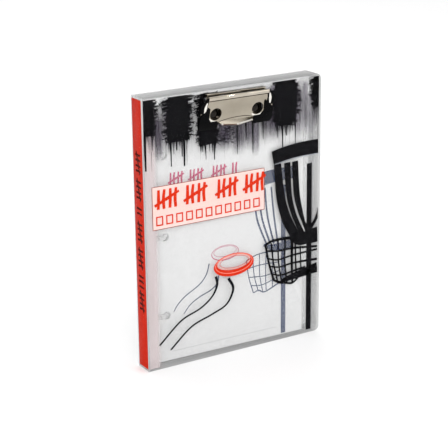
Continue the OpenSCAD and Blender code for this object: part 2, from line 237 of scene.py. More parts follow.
@dataclass(frozen=True)
class Finish:
    """Base of all finishes: a cloud in the colour, and a grain in the gloss and the relief."""

    name: str
    low: str = "#808080"  # colours at the two ends of the cloud
    high: str = "#909090"
    opacity: float = 1.0
    rough: float = 0.5
    spread: tuple[float, float] = (0.0, 0.0)  # how far the grain moves the roughness
    ior: float = 1.5
    metallic: float = 0.0
    specular: float = 0.5
    depth: float = 0.0  # of the relief, in metres
    strength: float = 0.0
    cloud: Pattern = Pattern(60)
    grain: Pattern = Pattern(60)

    def material(self) -> bpy.types.Material:
        """Finds or builds the material.

        Returns:
            The material with this finish's name.
        """
        found = bpy.data.materials.get(self.name)
        if found:
            return found
        made = bpy.data.materials.new(self.name)
        made.use_nodes = True
        made.node_tree.nodes.clear()
        shader = self.build(made.node_tree)
        add(made.node_tree, "ShaderNodeOutputMaterial", {"Surface": shader})
        return made

    def build(self, tree: bpy.types.NodeTree) -> bpy.types.NodeSocket:
        """Builds the shader; what is even all over is set on its own sockets.

        Args:
            tree: the material's node tree.

        Returns:
            The shader's output.
        """
        inputs = {
            "Base Color": self.colour(tree),
            "Metallic": self.metallic,
            "Roughness": self.rough,
            "IOR": self.ior,
            "Specular IOR Level": self.specular,
            "Alpha": self.alpha(tree),
        }
        if any(self.spread):
            gloss = {
                "Value": self.grain.value(tree),
                "From Min": USEFUL[0],
                "From Max": USEFUL[1],
                "To Min": self.rough + self.spread[0],
                "To Max": self.rough + self.spread[1],
            }
            inputs["Roughness"] = add(tree, "ShaderNodeMapRange", gloss).outputs[0]
        if self.depth:
            relief = {
                "Height": self.height(tree),
                "Distance": self.depth,
                "Strength": self.strength,
            }
            inputs["Normal"] = add(tree, "ShaderNodeBump", relief).outputs[0]
        return add(tree, "ShaderNodeBsdfPrincipled", inputs).outputs[0]

    def colour(self, tree: bpy.types.NodeTree) -> bpy.types.NodeSocket:
        """Blends the two colours by the cloud.

        Args:
            tree: the material's node tree.

        Returns:
            The colour at each place.
        """
        ramp = add(tree, "ShaderNodeValToRGB", {"Fac": self.cloud.value(tree)})
        stops = zip(ramp.color_ramp.elements, USEFUL, (self.low, self.high))
        for stop, position, code in stops:
            stop.position, stop.color = position, linear(code)
        return ramp.outputs["Color"]

    def height(self, tree: bpy.types.NodeTree) -> bpy.types.NodeSocket:
        """Height that the relief is made of: the grain, unless a finish has its own."""
        return self.grain.value(tree)

    def alpha(self, tree: bpy.types.NodeTree) -> float | bpy.types.NodeSocket:
        """Opacity: the same all over, unless a finish has its own."""
        return self.opacity


@dataclass(frozen=True)
class FrostedPolypropylene(Finish):
    """Polypropylene moulded in a spark-grained tool: milky, see-through, with a fine matt grain."""

    low: str = "#C0C1C2"
    high: str = "#CCCDCD"
    opacity: float = 0.2  # of one wall face; a wall has two
    rough: float = 0.42
    spread: tuple[float, float] = (-0.06, 0.06)
    ior: float = 1.49
    depth: float = 0.00003
    strength: float = 0.35
    cloud: Pattern = Pattern(18)  # flow marks about 55 mm across
    grain: Pattern = Pattern(2800, 1.0)  # 0.35 mm: coarser than the real grain, so that it shows


@dataclass(frozen=True)
class HingeLand(Finish):
    """Thick milky polypropylene beside the hinge, its pink a painted glow of the red spine behind
    it.
    """

    # pink tint: painted light from the red spine, not the plastic's own colour
    low: str = "#D6C6C7"
    high: str = "#DED0D0"
    opacity: float = 0.55
    rough: float = 0.45
    spread: tuple[float, float] = (-0.05, 0.05)
    ior: float = 1.49
    cloud: Pattern = Pattern(1.0, stretch=(60, 60, 9))  # flow marks 17 mm by 110 mm along it
    grain: Pattern = Pattern(1.0, stretch=(60, 60, 9))
    start: float = -0.0795  # where it begins to clear, in metres of the part's x
    end: float = -0.0735

    def alpha(self, tree: bpy.types.NodeTree) -> bpy.types.NodeSocket:
        """Clears away from the hinge.

        Args:
            tree: the material's node tree.

        Returns:
            The opacity at each place.
        """
        at = add(tree, "ShaderNodeTexCoord").outputs["Object"]
        clearing = {
            "Value": add(tree, "ShaderNodeSeparateXYZ", {"Vector": at}).outputs["X"],
            "From Min": self.start,
            "From Max": self.end,
            "To Min": self.opacity,
            "To Max": 0.0,
        }
        return add(
            tree, "ShaderNodeMapRange", clearing, interpolation_type="SMOOTHSTEP"
        ).outputs[0]


@dataclass(frozen=True)
class ClearFilm(Finish):
    """Calendered clear film: nearly invisible, with a smooth gloss and a slight ripple."""

    low: str = "#E8E9EC"
    high: str = "#F4F5F7"
    opacity: float = 0.0012
    rough: float = 0.16
    spread: tuple[float, float] = (-0.04, 0.04)
    depth: float = 0.00004
    strength: float = 0.2
    cloud: Pattern = Pattern(85)  # ripples about 12 mm long
    grain: Pattern = Pattern(85)


@dataclass(frozen=True)
class ScreenInk(Finish):
    """Screen-printed ink: dense colour with faint mesh mottle, satin where it dried."""

    low: str = "#09090B"
    high: str = "#121114"
    rough: float = 0.45
    spread: tuple[float, float] = (-0.05, 0.05)
    ior: float = 1.48
    specular: float = 0.02
    cloud: Pattern = Pattern(900)  # mottle about 1 mm across
    grain: Pattern = Pattern(900)


@dataclass(frozen=True)
class SoftHaze(Finish):
    """Airbrushed ink of the far trees: streaks that fade out at their edges and downwards."""

    low: str = "#4E4258"
    high: str = "#17121C"
    cloud: Pattern = Pattern(0.5, 3.0, (1 / (1.6 * MM), 40, 55))  # streaks 1.6 mm wide
    fade_out: float = 0.45  # share of a blade over which its lower end fades
    fade_in: float = 0.93  # above this share of its height the upper end fades

    def alpha(self, tree: bpy.types.NodeTree) -> bpy.types.NodeSocket:
        """Opacity from the blade's own map, its density and the streaks.

        Args:
            tree: the material's node tree.

        Returns:
            The opacity at each place.
        """
        own = add(tree, "ShaderNodeUVMap", uv_map=HAZE_MAP).outputs[0]
        across, along, _ = add(tree, "ShaderNodeSeparateXYZ", {"Vector": own}).outputs
        # u (1 - u) is a soft hump across the blade, a quarter at its middle
        rest = add(tree, "ShaderNodeMath", {0: 1.0, 1: across}, operation="SUBTRACT")
        hump = add(
            tree, "ShaderNodeMath", {0: across, 1: rest.outputs[0]}, operation="MULTIPLY"
        ).outputs[0]
        streaks = self.cloud.value(tree)
        share = add(tree, "ShaderNodeAttribute", attribute_name=HAZE_DENSITY).outputs["Fac"]
        for value, start, end, least, ease in (
            (hump, 0.0, 0.25, 0.0, "SMOOTHSTEP"),
            (along, 0.0, self.fade_out, 0.0, "SMOOTHSTEP"),
            (along, 1.0, self.fade_in, 0.0, "LINEAR"),
            (streaks, *USEFUL, 0.5, "LINEAR"),
        ):
            factor = add(
                tree,
                "ShaderNodeMapRange",
                {"Value": value, "From Min": start, "From Max": end, "To Min": least},
                interpolation_type=ease,
            ).outputs[0]
            share = add(
                tree, "ShaderNodeMath", {0: share, 1: factor}, operation="MULTIPLY"
            ).outputs[0]
        return share


@dataclass(frozen=True)
class OffsetPaper(Finish):
    """Uncoated offset paper: white, matt, with a faint fibre cloud; a stack shows its leaves."""

    low: str = "#D8D8D8"
    high: str = "#E0E0E0"
    rough: float = 0.9
    specular: float = 0.3
    depth: float = 0.00004
    strength: float = 0.3
    cloud: Pattern = Pattern(330, 4.0)  # fibre cloud 3 mm across
    grain: Pattern = Pattern(330, 4.0)
    leaf: float = 0.0  # spacing of the leaves in a stack, in millimetres
    gap: str = "#A8A8A7"  # painted shade between two leaves

    def colour(self, tree: bpy.types.NodeTree) -> bpy.types.NodeSocket:
        """The paper's cloud, with painted shade lines between the leaves on a stack's sides.

        Args:
            tree: the material's node tree.

        Returns:
            The colour at each place.
        """
        plain = super().colour(tree)
        if not self.leaf:
            return plain
        on_leaf = {"Value": self.height(tree), "From Max": 0.35}
        side = add(tree, "ShaderNodeMapRange", on_leaf).outputs[0]
        both = {"Factor": side, 6: linear(self.gap), 7: plain}
        return add(tree, "ShaderNodeMix", both, data_type="RGBA").outputs[2]

    def height(self, tree: bpy.types.NodeTree) -> bpy.types.NodeSocket:
        """The fibre cloud, or the leaves of a stack, which lie along its lean.

        Args:
            tree: the material's node tree.

        Returns:
            The height at each place.
        """
        if not self.leaf:
            return super().height(tree)
        at = add(tree, "ShaderNodeTexCoord").outputs["Object"]
        turned = add(tree, "ShaderNodeMapping", {"Vector": at, "Rotation": (0, 0, STACK_LEAN)})
        waves = {"Vector": turned.outputs[0], "Scale": 1 / (self.leaf * MM) / math.tau}
        return add(tree, "ShaderNodeTexWave", waves, bands_direction="Y").outputs["Fac"]


@dataclass(frozen=True)
class PlatedSteel(Finish):
    """Nickel plate over rolled spring steel: warm mirror, very fine rolling lines."""

    low: str = "#9A9284"
    high: str = "#ACA496"
    rough: float = 0.15
    spread: tuple[float, float] = (-0.04, 0.05)
    metallic: float = 1.0
    depth: float = 0.000004
    strength: float = 0.25
    cloud: Pattern = Pattern(60)  # faint clouding 17 mm across
    grain: Pattern = Pattern(1.0, 3.0, (30, 1600, 1600))  # rolling lines 0.6 mm apart


@dataclass(frozen=True)
class MouldedVinyl(Finish):
    """Soft black vinyl dipped or moulded on: glossy, with a slight orange-peel."""

    low: str = "#020203"
    high: str = "#060607"
    rough: float = 0.13
    spread: tuple[float, float] = (-0.04, 0.06)
    ior: float = 1.52
    specular: float = 0.04
    depth: float = 0.00003
    strength: float = 0.25
    cloud: Pattern = Pattern(650)  # orange-peel ripples about 1.5 mm across
    grain: Pattern = Pattern(650)


@dataclass(frozen=True)
class GlossyAcetal(Finish):
    """Injection-moulded acetal of the rings: off-white, low gloss, smooth."""

    low: str = "#DADAD6"
    high: str = "#E6E6E2"
    rough: float = 0.35
    spread: tuple[float, float] = (-0.05, 0.05)
    ior: float = 1.48
    depth: float = 0.00002
    strength: float = 0.2
    cloud: Pattern = Pattern(50)  # moulding flow about 20 mm long
    grain: Pattern = Pattern(1400, 1.0)  # fine skin texture


@dataclass(frozen=True)
class StudioSweep(Finish):
    """Matt painted studio floor, nearly white, with a very slow variation."""

    low: str = "#F4F4F4"
    high: str = "#F8F8F8"
    rough: float = 0.9
    cloud: Pattern = Pattern(2)  # about half a metre


PLATE_PP = FrostedPolypropylene("moulded_polypropylene_plate", opacity=0.12)
BACK_PP = FrostedPolypropylene("moulded_polypropylene_back", opacity=0.34)
# darker copy of the plastic for the top wall: painted shade
SHADED_TOP_PP = FrostedPolypropylene("moulded_polypropylene_top_painted_shade", "#8E8E8E", "#989898", 0.75)
WALL_PP = FrostedPolypropylene("moulded_polypropylene_wall", "#BEBEBE", "#C8C8C8", 0.65)
LAND_PP = HingeLand("moulded_polypropylene_land")
HINGE_PP = FrostedPolypropylene("moulded_polypropylene_hinge", opacity=0.5, rough=0.3)
COVER_FILM = ClearFilm("calendered_clear_film")
PRINT_FILM = ClearFilm("calendered_print_film", opacity=0.0008)
BLACK_INK = ScreenInk("screen_ink_black")
LINE_INK = ScreenInk("screen_ink_line_black", "#101014", "#1A1A1E")
RED_INK = ScreenInk("screen_ink_red", "#C02812", "#CC341C")
PALE_INK = ScreenInk("screen_ink_pale_pink", "#EC8E7C", "#F09C8C")
PANEL_INK = ScreenInk("screen_ink_panel_pink", "#FBD9D1", "#FCE2DB", 0.55)
FRAME_INK = ScreenInk("screen_ink_frame_brown", "#7A2818", "#883222")
SPINE_RED = ScreenInk("screen_ink_spine_red", "#B4241A", "#C42E1A", rough=0.35)
SPINE_DARK = ScreenInk("screen_ink_spine_dark", "#3A0E0A", "#48140F")
SHEET_SLATE = ScreenInk("offset_ink_slate", "#0E2550", "#18305C", rough=0.7)
SHEET_ROSE = ScreenInk("offset_ink_rose", "#B4265A", "#C03468", rough=0.7)
SHEET_GREY = ScreenInk("offset_ink_grey", "#8A8C92", "#9A9CA2", rough=0.7)
HAZE = SoftHaze("airbrushed_ink_haze")
PAPER = OffsetPaper("offset_paper_sheet")
# leaves drawn three times coarser than real ones, so that the painted shade lines between them show
PAPER_STACK = OffsetPaper("offset_paper_stack", leaf=0.3)
NICKEL = PlatedSteel("nickel_plated_spring_steel")
# rivet heads darkened: painted shade and dark reflection inside the jaw's access holes
SHADED_RIVET_NICKEL = PlatedSteel("nickel_rivet_painted_shade", "#1E1C1A", "#2C2926", rough=0.08)
# brighter copy of the nickel for the hem's fold: painted highlight
HEM_HIGHLIGHT_NICKEL = PlatedSteel("nickel_fold_painted_highlight", "#B4AC9E", "#C2BAAD", rough=0.1)
# far brighter copy of the nickel: painted highlights on the shoulders, hole lips and tab edge
HIGHLIGHT_NICKEL = PlatedSteel("nickel_painted_highlight", "#E2DED6", "#EEEBE5", rough=0.08)
# dark red copy of the nickel: painted reflection of the red title on the tab's edge
TAB_RED_REFLECTION = PlatedSteel("nickel_edge_painted_red_reflection", "#5A3A34", "#6A4640", rough=0.3)
# dark steel: painted shade in the creases and round the rivets
SHADE_STEEL = PlatedSteel("steel_painted_shade", "#2A2621", "#38332C", rough=0.35)
SPRING_STEEL = PlatedSteel("drawn_spring_wire", "#8A8A8C", "#9C9C9E", rough=0.3)
VINYL = MouldedVinyl("moulded_black_vinyl")
NATURAL_PP = FrostedPolypropylene(
    "moulded_natural_polypropylene", "#DEDEDD", "#E6E6E5", 0.4, rough=0.5
)
ACETAL = GlossyAcetal("moulded_acetal")
FLOOR = StudioSweep("painted_studio_floor")


# --- print planes and the pen ----------------------------------------------------------------


@dataclass(frozen=True)
class PrintPlane:
    """A flat place that takes print: where it starts, and which way is right, up and inwards."""

    origin: Vector
    right: Vector
    up: Vector

    def matrix(self, depth: float) -> Matrix:
        """Places a drawing in millimetres, its faces pointing out, at a depth below the plane.

        Args:
            depth: how far below the plane the drawing's outer face lies, in millimetres.

        Returns:
            The matrix from the drawing to the part's frame.
        """
        out = self.right.cross(self.up).normalized()
        start = self.origin - out * depth * MM
        turn = Matrix((self.right, self.up, out)).transposed().to_4x4()
        return Matrix.Translation(start) @ turn @ Matrix.Scale(MM, 4)


class Pen:
    """Draws flat printed shapes in millimetres into one bmesh."""

    def __init__(self) -> None:
        """Starts an empty drawing."""
        self.bm = bmesh.new()
        self.drawn = 0

    @property
    def level(self) -> float:
        """Height of the next shape, so that crossing shapes never share a plane."""
        self.drawn += 1
        return LEVEL_STEP * (self.drawn % LEVELS)

    def grid(self, steps: int) -> list[bmesh.types.BMVert]:
        """A strip of faces from -0.5 to 0.5 both ways, cut across into steps."""
        made = bmesh.ops.create_grid(self.bm, x_segments=steps, y_segments=1, size=0.5)
        return made["verts"]

    def bar(self, x0: float, z0: float, x1: float, z1: float) -> None:
        """A filled upright rectangle between two corners.

        Args:
            x0: left side.
            z0: lower side.
            x1: right side.
            z1: upper side.
        """
        level = self.level
        for v in self.grid(1):
            share = (v.co.x + 0.5, v.co.y + 0.5)
            v.co = Vector((x0 + share[0] * (x1 - x0), z0 + share[1] * (z1 - z0), level))

    def stroke(
        self, points: Sequence[tuple[float, float]], widths: Sequence[float], steps: int = 16
    ) -> None:
        """A ribbon along a smooth curve through the points, with its width eased between values.

        Args:
            points: places that the curve runs through.
            widths: widths spread evenly along the curve.
            steps: faces along the ribbon.
        """
        line = smooth_line(points, steps)
        level = Vector((0, 0, self.level))
        for v in self.grid(steps):
            i = round((v.co.x + 0.5) * steps)
            before, after = line[max(i - 1, 0)], line[min(i + 1, steps)]
            along = (after - before).normalized()
            side = Vector((-along.y, along.x, 0))
            at = i / steps * (len(widths) - 1)
            k = min(int(at), len(widths) - 2)
            width = widths[k] + (widths[k + 1] - widths[k]) * (at - k)
            v.co = line[i] + side * v.co.y * width + level

    def frame(self, x0: float, z0: float, x1: float, z1: float, line: float) -> None:
        """An outlined rectangle: a filled one, inset by the line's width and opened.

        Args:
            x0: left side.
            z0: lower side.
            x1: right side.
            z1: upper side.
            line: width of the outline.
        """
        before = set(self.bm.faces)
        self.bar(x0, z0, x1, z1)
        panel = [f for f in self.bm.faces if f not in before]
        bmesh.ops.inset_region(
            self.bm, faces=panel, thickness=line, use_even_offset=True, use_boundary=True
        )
        bmesh.ops.delete(self.bm, geom=panel, context="FACES_ONLY")

    def hoop(
        self,
        centre: tuple[float, float],
        outer: tuple[float, float],
        inner: tuple[float, float],
        shift: float = 0.0,
    ) -> None:
        """A ring between two ellipses, bridged.

        Args:
            centre: middle of the outer ellipse.
            outer: half width and half height of the outer ellipse.
            inner: half width and half height of the inner ellipse.
            shift: how far the inner ellipse sits above the outer.
        """
        edges, level = [], self.level
        for size, lift in ((outer, 0.0), (inner, shift)):
            made = bmesh.ops.create_circle(self.bm, segments=72, radius=1.0)["verts"]
            spot = Matrix.Translation((centre[0], centre[1] + lift, level))
            shape = spot @ Matrix.Diagonal((size[0], size[1], 1, 1))
            bmesh.ops.transform(self.bm, matrix=shape, verts=made)
            edges += {e for v in made for e in v.link_edges}
        bmesh.ops.bridge_loops(self.bm, edges=edges)

    def tally(
        self, x: float, z: float, height: float, pitch: float, width: float, strokes: int = 4
    ) -> float:
        """One group of tally marks: upright strokes, and a slanted one across a full group.

        Args:
            x: left side of the group.
            z: foot of the strokes.
            height: their height.
            pitch: distance between strokes.
            width: width of a stroke.
            strokes: how many upright strokes; only four get the slanted one.

        Returns:
            The right side of the group.
        """
        for k in range(strokes):
            foot, lean = x + k * pitch, 0.03 * height * (-1) ** k
            self.stroke(
                [(foot, z), (foot + lean, z + height / 2), (foot + 0.04 * height, z + height)],
                [width * 0.9, width, width * 0.8],
                6,
            )
        right = x + (strokes - 1) * pitch
        if strokes == 4:
            self.stroke(
                [(x - 0.6 * pitch, z + 0.2 * height), (right + 0.6 * pitch, z + 0.8 * height)],
                [width * 0.8, width, width * 0.7],
                4,
            )
            right += 0.6 * pitch
        return right

    def piece(
        self,
        name: str,
        plane: PrintPlane,
        depth: float,
        finish: Finish,
        body: str,
        slot: str,
        thick: float = INK_FILM,
    ) -> bpy.types.Object:
        """Lays the drawing on its plane as a thin printed layer.

        Args:
            name: the piece's name.
            plane: the plane it is printed on.
            depth: how far below the plane it lies, in millimetres.
            finish: the ink.
            body: body that it moves with.
            slot: the record's material slot.
            thick: thickness of the layer, downwards from its outer face.

        Returns:
            The finished piece.
        """
        self.bm.normal_update()
        turned = [f for f in self.bm.faces if f.normal.z < 0]
        bmesh.ops.reverse_faces(self.bm, faces=turned)
        bmesh.ops.transform(self.bm, matrix=plane.matrix(depth), verts=self.bm.verts)
        piece = piece_from(self.bm, name, finish)
        layer = piece.modifiers.new("ink_layer", "SOLIDIFY")
        layer.thickness = thick * MM
        layer.offset = -1
        return mount(piece, body, slot)


def smooth_line(points: Sequence[tuple[float, float]], steps: int) -> list[Vector]:
    """Points along a Catmull-Rom curve, evenly shared between its spans.

    Args:
        points: places that the curve runs through.
        steps: number of steps; one more point comes back.

    Returns:
        The curve's points, flat.
    """
    p = [Vector((x, z, 0)) for x, z in points]
    p = [p[0] * 2 - p[1], *p, p[-1] * 2 - p[-2]]
    line = []
    for i in range(steps + 1):
        at = i / steps * (len(points) - 1)
        k = min(int(at), len(points) - 2)
        t = at - k
        a, b, c, d = p[k : k + 4]
        line.append(
            (
                b * 2
                + (c - a) * t
                + (a * 2 - b * 5 + c * 4 - d) * t * t
                + (b * 3 - a - c * 3 + d) * t**3
            )
            / 2
        )
    return line


Path = tuple[tuple[float, float], ...]


@dataclass(frozen=True)
class TallyRow:
    """A row of tally marks: how many strokes each group has, and the gap after it."""

    groups: tuple[tuple[int, float], ...]
    height: float
    pitch: float  # between strokes
    width: float  # of a stroke

    def draw(self, pen: Pen, x: float, z: float) -> None:
        """Draws the row.

        Args:
            pen: drawing that takes it.
            x: left side of the row.
            z: foot of the strokes.
        """
        for strokes, gap in self.groups:
            x = pen.tally(x, z, self.height, self.pitch, self.width, strokes) + gap


@dataclass(frozen=True)
class BoxRow:
    """A row of score boxes, empty unless their line is 0."""

    count: int
    pitch: float
    size: tuple[float, float]
    line: float

    def draw(self, pen: Pen, x: float, z: float) -> None:
        """Draws the row.

        Args:
            pen: drawing that takes it.
            x: left side of the first box.
            z: lower side of the boxes.
        """
        for k in range(self.count):
            left = x + k * self.pitch
            box = (left, z, left + self.size[0], z + self.size[1])
            if self.line:
                pen.frame(*box, self.line)
            else:
                pen.bar(*box)


@dataclass(frozen=True)
class FlightLines:
    """The curved lines of a disc's flight, with the same widths along each."""

    paths: tuple[Path, ...]
    widths: tuple[float, ...]
    steps: int

    def draw(self, pen: Pen) -> None:
        """Draws the lines.

        Args:
            pen: drawing that takes them.
        """
        for path in self.paths:
            pen.stroke(path, self.widths, self.steps)


# --- the case --------------------------------------------------------------------------------


@dataclass
class CaseShell:
    """The moulded case: back cover, spine, front cover and their living hinges."""

    plane: PrintPlane
    edge: float = 0.22  # eased edge of the mouldings
    lip: float = 6.0  # the part next to the hinge stays as clear as the plate
    land: tuple[float, float, float, float] = (1.5, 2.0, 14.5, 234.0)
    land_depth: float = 0.44  # just inside the front plate

    def build(self) -> None:
        """Builds the mouldings and dresses the hinge webs and clear films."""
        for node, body, finish in (
            ("back_cover", "case_back", BACK_PP),
            ("spine_panel", "spine", BACK_PP),
            ("front_cover", "case_front", PLATE_PP),
        ):
            shell = eased_copy(node, f"{node}_moulding", finish, self.edge)
            if node == "front_cover":
                self.grade_walls(shell)
            mount(shell, body, "pp", node)
        milk = Pen()
        milk.bar(*self.land)
        milk.piece("hinge_land", self.plane, self.land_depth, LAND_PP, "case_front", "pp")
        for node in ("rear_hinge_web", "front_hinge_web"):
            dress(node, HINGE_PP)
        for node in ("front_overlay_film", "spine_overlay_film", "back_overlay_film"):
            dress(node, COVER_FILM)

    def grade_walls(self, shell: bpy.types.Object) -> None:
        """Gives the walls, which light crosses lengthways, their milkier finish, and the top wall a
        darker copy as painted shade.

        Args:
            shell: the front cover's moulding.
        """
        shell.data.materials.append(WALL_PP.material())
        shell.data.materials.append(SHADED_TOP_PP.material())
        low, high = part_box("front_cover")
        start, middle = low.x + self.lip * MM, (low.z + high.z) / 2
        for face in shell.data.polygons:
            if abs(face.normal.y) < 0.7 and face.center.x > start:
                # upward faces at the top get the painted shade copy
                at_top = face.normal.z > 0.7 and face.center.z > middle
                face.material_index = 2 if at_top else 1


# --- the cover art ---------------------------------------------------------------------------


class Trunk(Enum):
    """How heavy a printed tree trunk is, in millimetres at its top."""

    HEAVY = 2.3
    MIDDLE = 1.5
    FINE = 0.8


TIER = 0.7  # height between a crown's branches


@dataclass(frozen=True)
class Conifer:
    """One printed conifer: a ragged crown of drooping sprays over bare trunks."""

    left: float
    right: float
    top: float
    foot: float
    trunks: tuple[tuple[float, float, Trunk], ...]  # x, lower end, weight
    fullness: float = 1.0

    def draw(self, pen: Pen, chance: random.Random) -> None:
        """Draws the crown in tiers of sprays with twigs at their ends, then the trunks.

        Args:
            pen: drawing that takes the tree.
            chance: seeded source of the tree's irregularity.
        """
        middle, half = (self.left + self.right) / 2, (self.right - self.left) / 2
        height = self.top - self.foot
        pen.stroke(
            [(middle, self.top + 1), (middle, self.top - height / 2), (middle, self.foot + 2)],
            [1.3 * half, 1.6 * half, 1.2 * half],
            8,
        )
        tiers = int(height / TIER)
        for i in range(tiers):
            z, down = self.top - i * TIER, i / tiers
            clumps = 0.08 * math.sin(9 * down + self.left) + 0.08 * math.sin(26 * down - self.left)
            reach = half * (0.92 + clumps) * (1 - 0.3 * down**4)
            for side in (-1, 1):
                length = reach * chance.uniform(0.78, 1.2)
                tip = (middle + side * length, z - chance.uniform(-1.8, 2.6))
                self.spray(pen, chance, (middle, z + 0.4), tip, side)
        for _ in range(int(half * 3)):
            x = middle + half * chance.uniform(-0.75, 0.75)
            low = self.foot - chance.uniform(-3, 9)
            pen.stroke([(x, self.foot + 7), (x, low)], [chance.uniform(0.8, 1.6), 0.1], 2)
        for x, low, weight in self.trunks:
            start = self.foot + 6
            pen.stroke(
                [(x, start), (x + chance.uniform(-0.2, 0.2), (start + low) / 2), (x, low)],
                [weight.value, weight.value * 0.9, weight.value * 0.6],
                4,
            )

    def spray(
        self,
        pen: Pen,
        chance: random.Random,
        root: tuple[float, float],
        tip: tuple[float, float],
        side: int,
    ) -> None:
        """Draws one branch and the twigs along its outer half.

        Args:
            pen: drawing that takes the branch.
            chance: seeded source of irregularity.
            root: where the branch leaves the trunk.
            tip: where it ends.
            side: -1 to the left, 1 to the right.
        """
        pen.stroke([root, tip], [2.2 * self.fullness, 1.5 * self.fullness, 0.3], 3)
        for _ in range(9):
            share = chance.uniform(0.66, 1.0)
            x = root[0] + (tip[0] - root[0]) * share
            z = root[1] + (tip[1] - root[1]) * share
            run, fall = chance.uniform(-0.4, 2.6) * side, chance.uniform(-2.4, 1.6)
            pen.stroke([(x, z), (x + run, z + fall)], [0.6, 0.1], 1)


@dataclass(frozen=True)
class BasketTarget:
    """A printed basket target: top band, hanging chains, wire basket and pole."""

    band: Path
    band_width: tuple[float, ...]
    seam: Path
    chains: tuple[tuple[Path, tuple[float, ...]], ...]  # each chain's path and widths
    pole: tuple[float, float, float, float]
    wires: tuple[tuple[Path, tuple[float, ...]], ...]
    boldness: float = 1.0  # factor on the wires' widths
    steps: int = 24

    def draw(self, pen: Pen) -> None:
        """Draws the whole target but for the seam, which is left light.

        Args:
            pen: drawing that takes it.
        """
        pen.stroke(self.band, self.band_width, self.steps)
        for path, widths in self.chains:
            pen.stroke(path, widths, self.steps)
        for path, widths in self.wires:
            pen.stroke(path, [self.boldness * width for width in widths], self.steps)
        pen.bar(*self.pole)


FRONT_TARGET = BasketTarget(
    band=((125.4, 167.6), (135.5, 169.6), (149.0, 171.2), (160.0, 171.7), (172.6, 171.8)),
    band_width=(13.0, 13.2, 13.4, 13.3, 13.2),
    seam=((127.0, 162.2), (143.2, 164.5), (156.7, 165.4), (172.7, 165.4)),
    chains=(
        (
            ((130.2, 162.0), (133.4, 133.0), (138.0, 116.0), (142.4, 106.0), (150.5, 91.5)),
            (7.4, 8.8, 9.4, 9.6, 9.0),
        ),
        (
            ((140.2, 162.0), (142.3, 133.0), (146.7, 116.0), (151.2, 105.5), (157.0, 93.5)),
            (6.6, 5.8, 5.0, 4.6, 5.5),
        ),
        (
            ((148.4, 162.0), (150.2, 133.0), (154.2, 116.0), (157.6, 106.0), (162.0, 96.0)),
            (6.2, 6.4, 5.0, 3.4, 4.0),
        ),
        (((173.2, 116.5), (171.2, 107.0), (165.5, 99.0)), (1.0, 3.2, 3.6)),
        (((143.5, 93.6), (153.0, 89.6), (162.0, 90.8), (172.7, 91.4)), (4.0, 9.5, 13.0, 14.2)),
    ),
    pole=(160.8, 3.0, 166.2, 158.0),
    wires=(
        (((117.6, 91.2), (123.8, 93.6), (134.4, 94.0), (145.1, 93.2)), (1.5, 1.8, 2.0, 2.6)),
        (((118.4, 86.0), (130.0, 83.6), (145.2, 83.4), (172.5, 80.4)), (1.2, 1.2, 1.6, 1.6)),
        (((119.8, 78.6), (131.0, 75.4), (146.0, 76.8), (172.5, 77.6)), (1.1, 1.1, 1.4, 1.4)),
        (((121.8, 71.0), (133.0, 68.4), (146.6, 69.5), (172.6, 68.4)), (1.1, 1.1, 1.4, 1.8)),
        (((124.0, 63.6), (134.0, 60.6), (146.6, 62.0), (160.0, 63.4)), (1.1, 1.2, 1.5, 1.5)),
        (((126.4, 57.4), (134.5, 53.6), (139.9, 55.9), (172.7, 60.6)), (1.6, 2.0, 3.6, 7.4)),
        (((117.8, 91.5), (121.4, 74.0), (126.6, 56.6)), (1.8, 1.6, 1.8)),
        (((123.8, 92.0), (126.0, 74.0), (130.4, 55.6)), (1.3, 1.2, 1.3)),
        (((131.0, 93.0), (131.4, 74.0), (134.6, 53.4)), (1.2, 1.2, 1.3)),
        (((138.4, 92.4), (138.0, 74.0), (140.2, 52.6)), (1.4, 1.2, 1.4)),
        (((145.8, 92.0), (145.4, 74.0), (146.0, 51.6)), (2.4, 2.0, 1.6)),
        (((149.0, 88.0), (149.4, 74.0), (150.4, 53.4)), (1.4, 1.2, 1.4)),
        (((154.4, 84.0), (154.8, 72.0), (155.6, 57.0)), (1.2, 1.0, 1.2)),
        (((134.4, 53.6), (145.3, 51.0), (152.0, 54.4)), (1.2, 1.6, 1.2)),
    ),
    boldness=1.3,
)

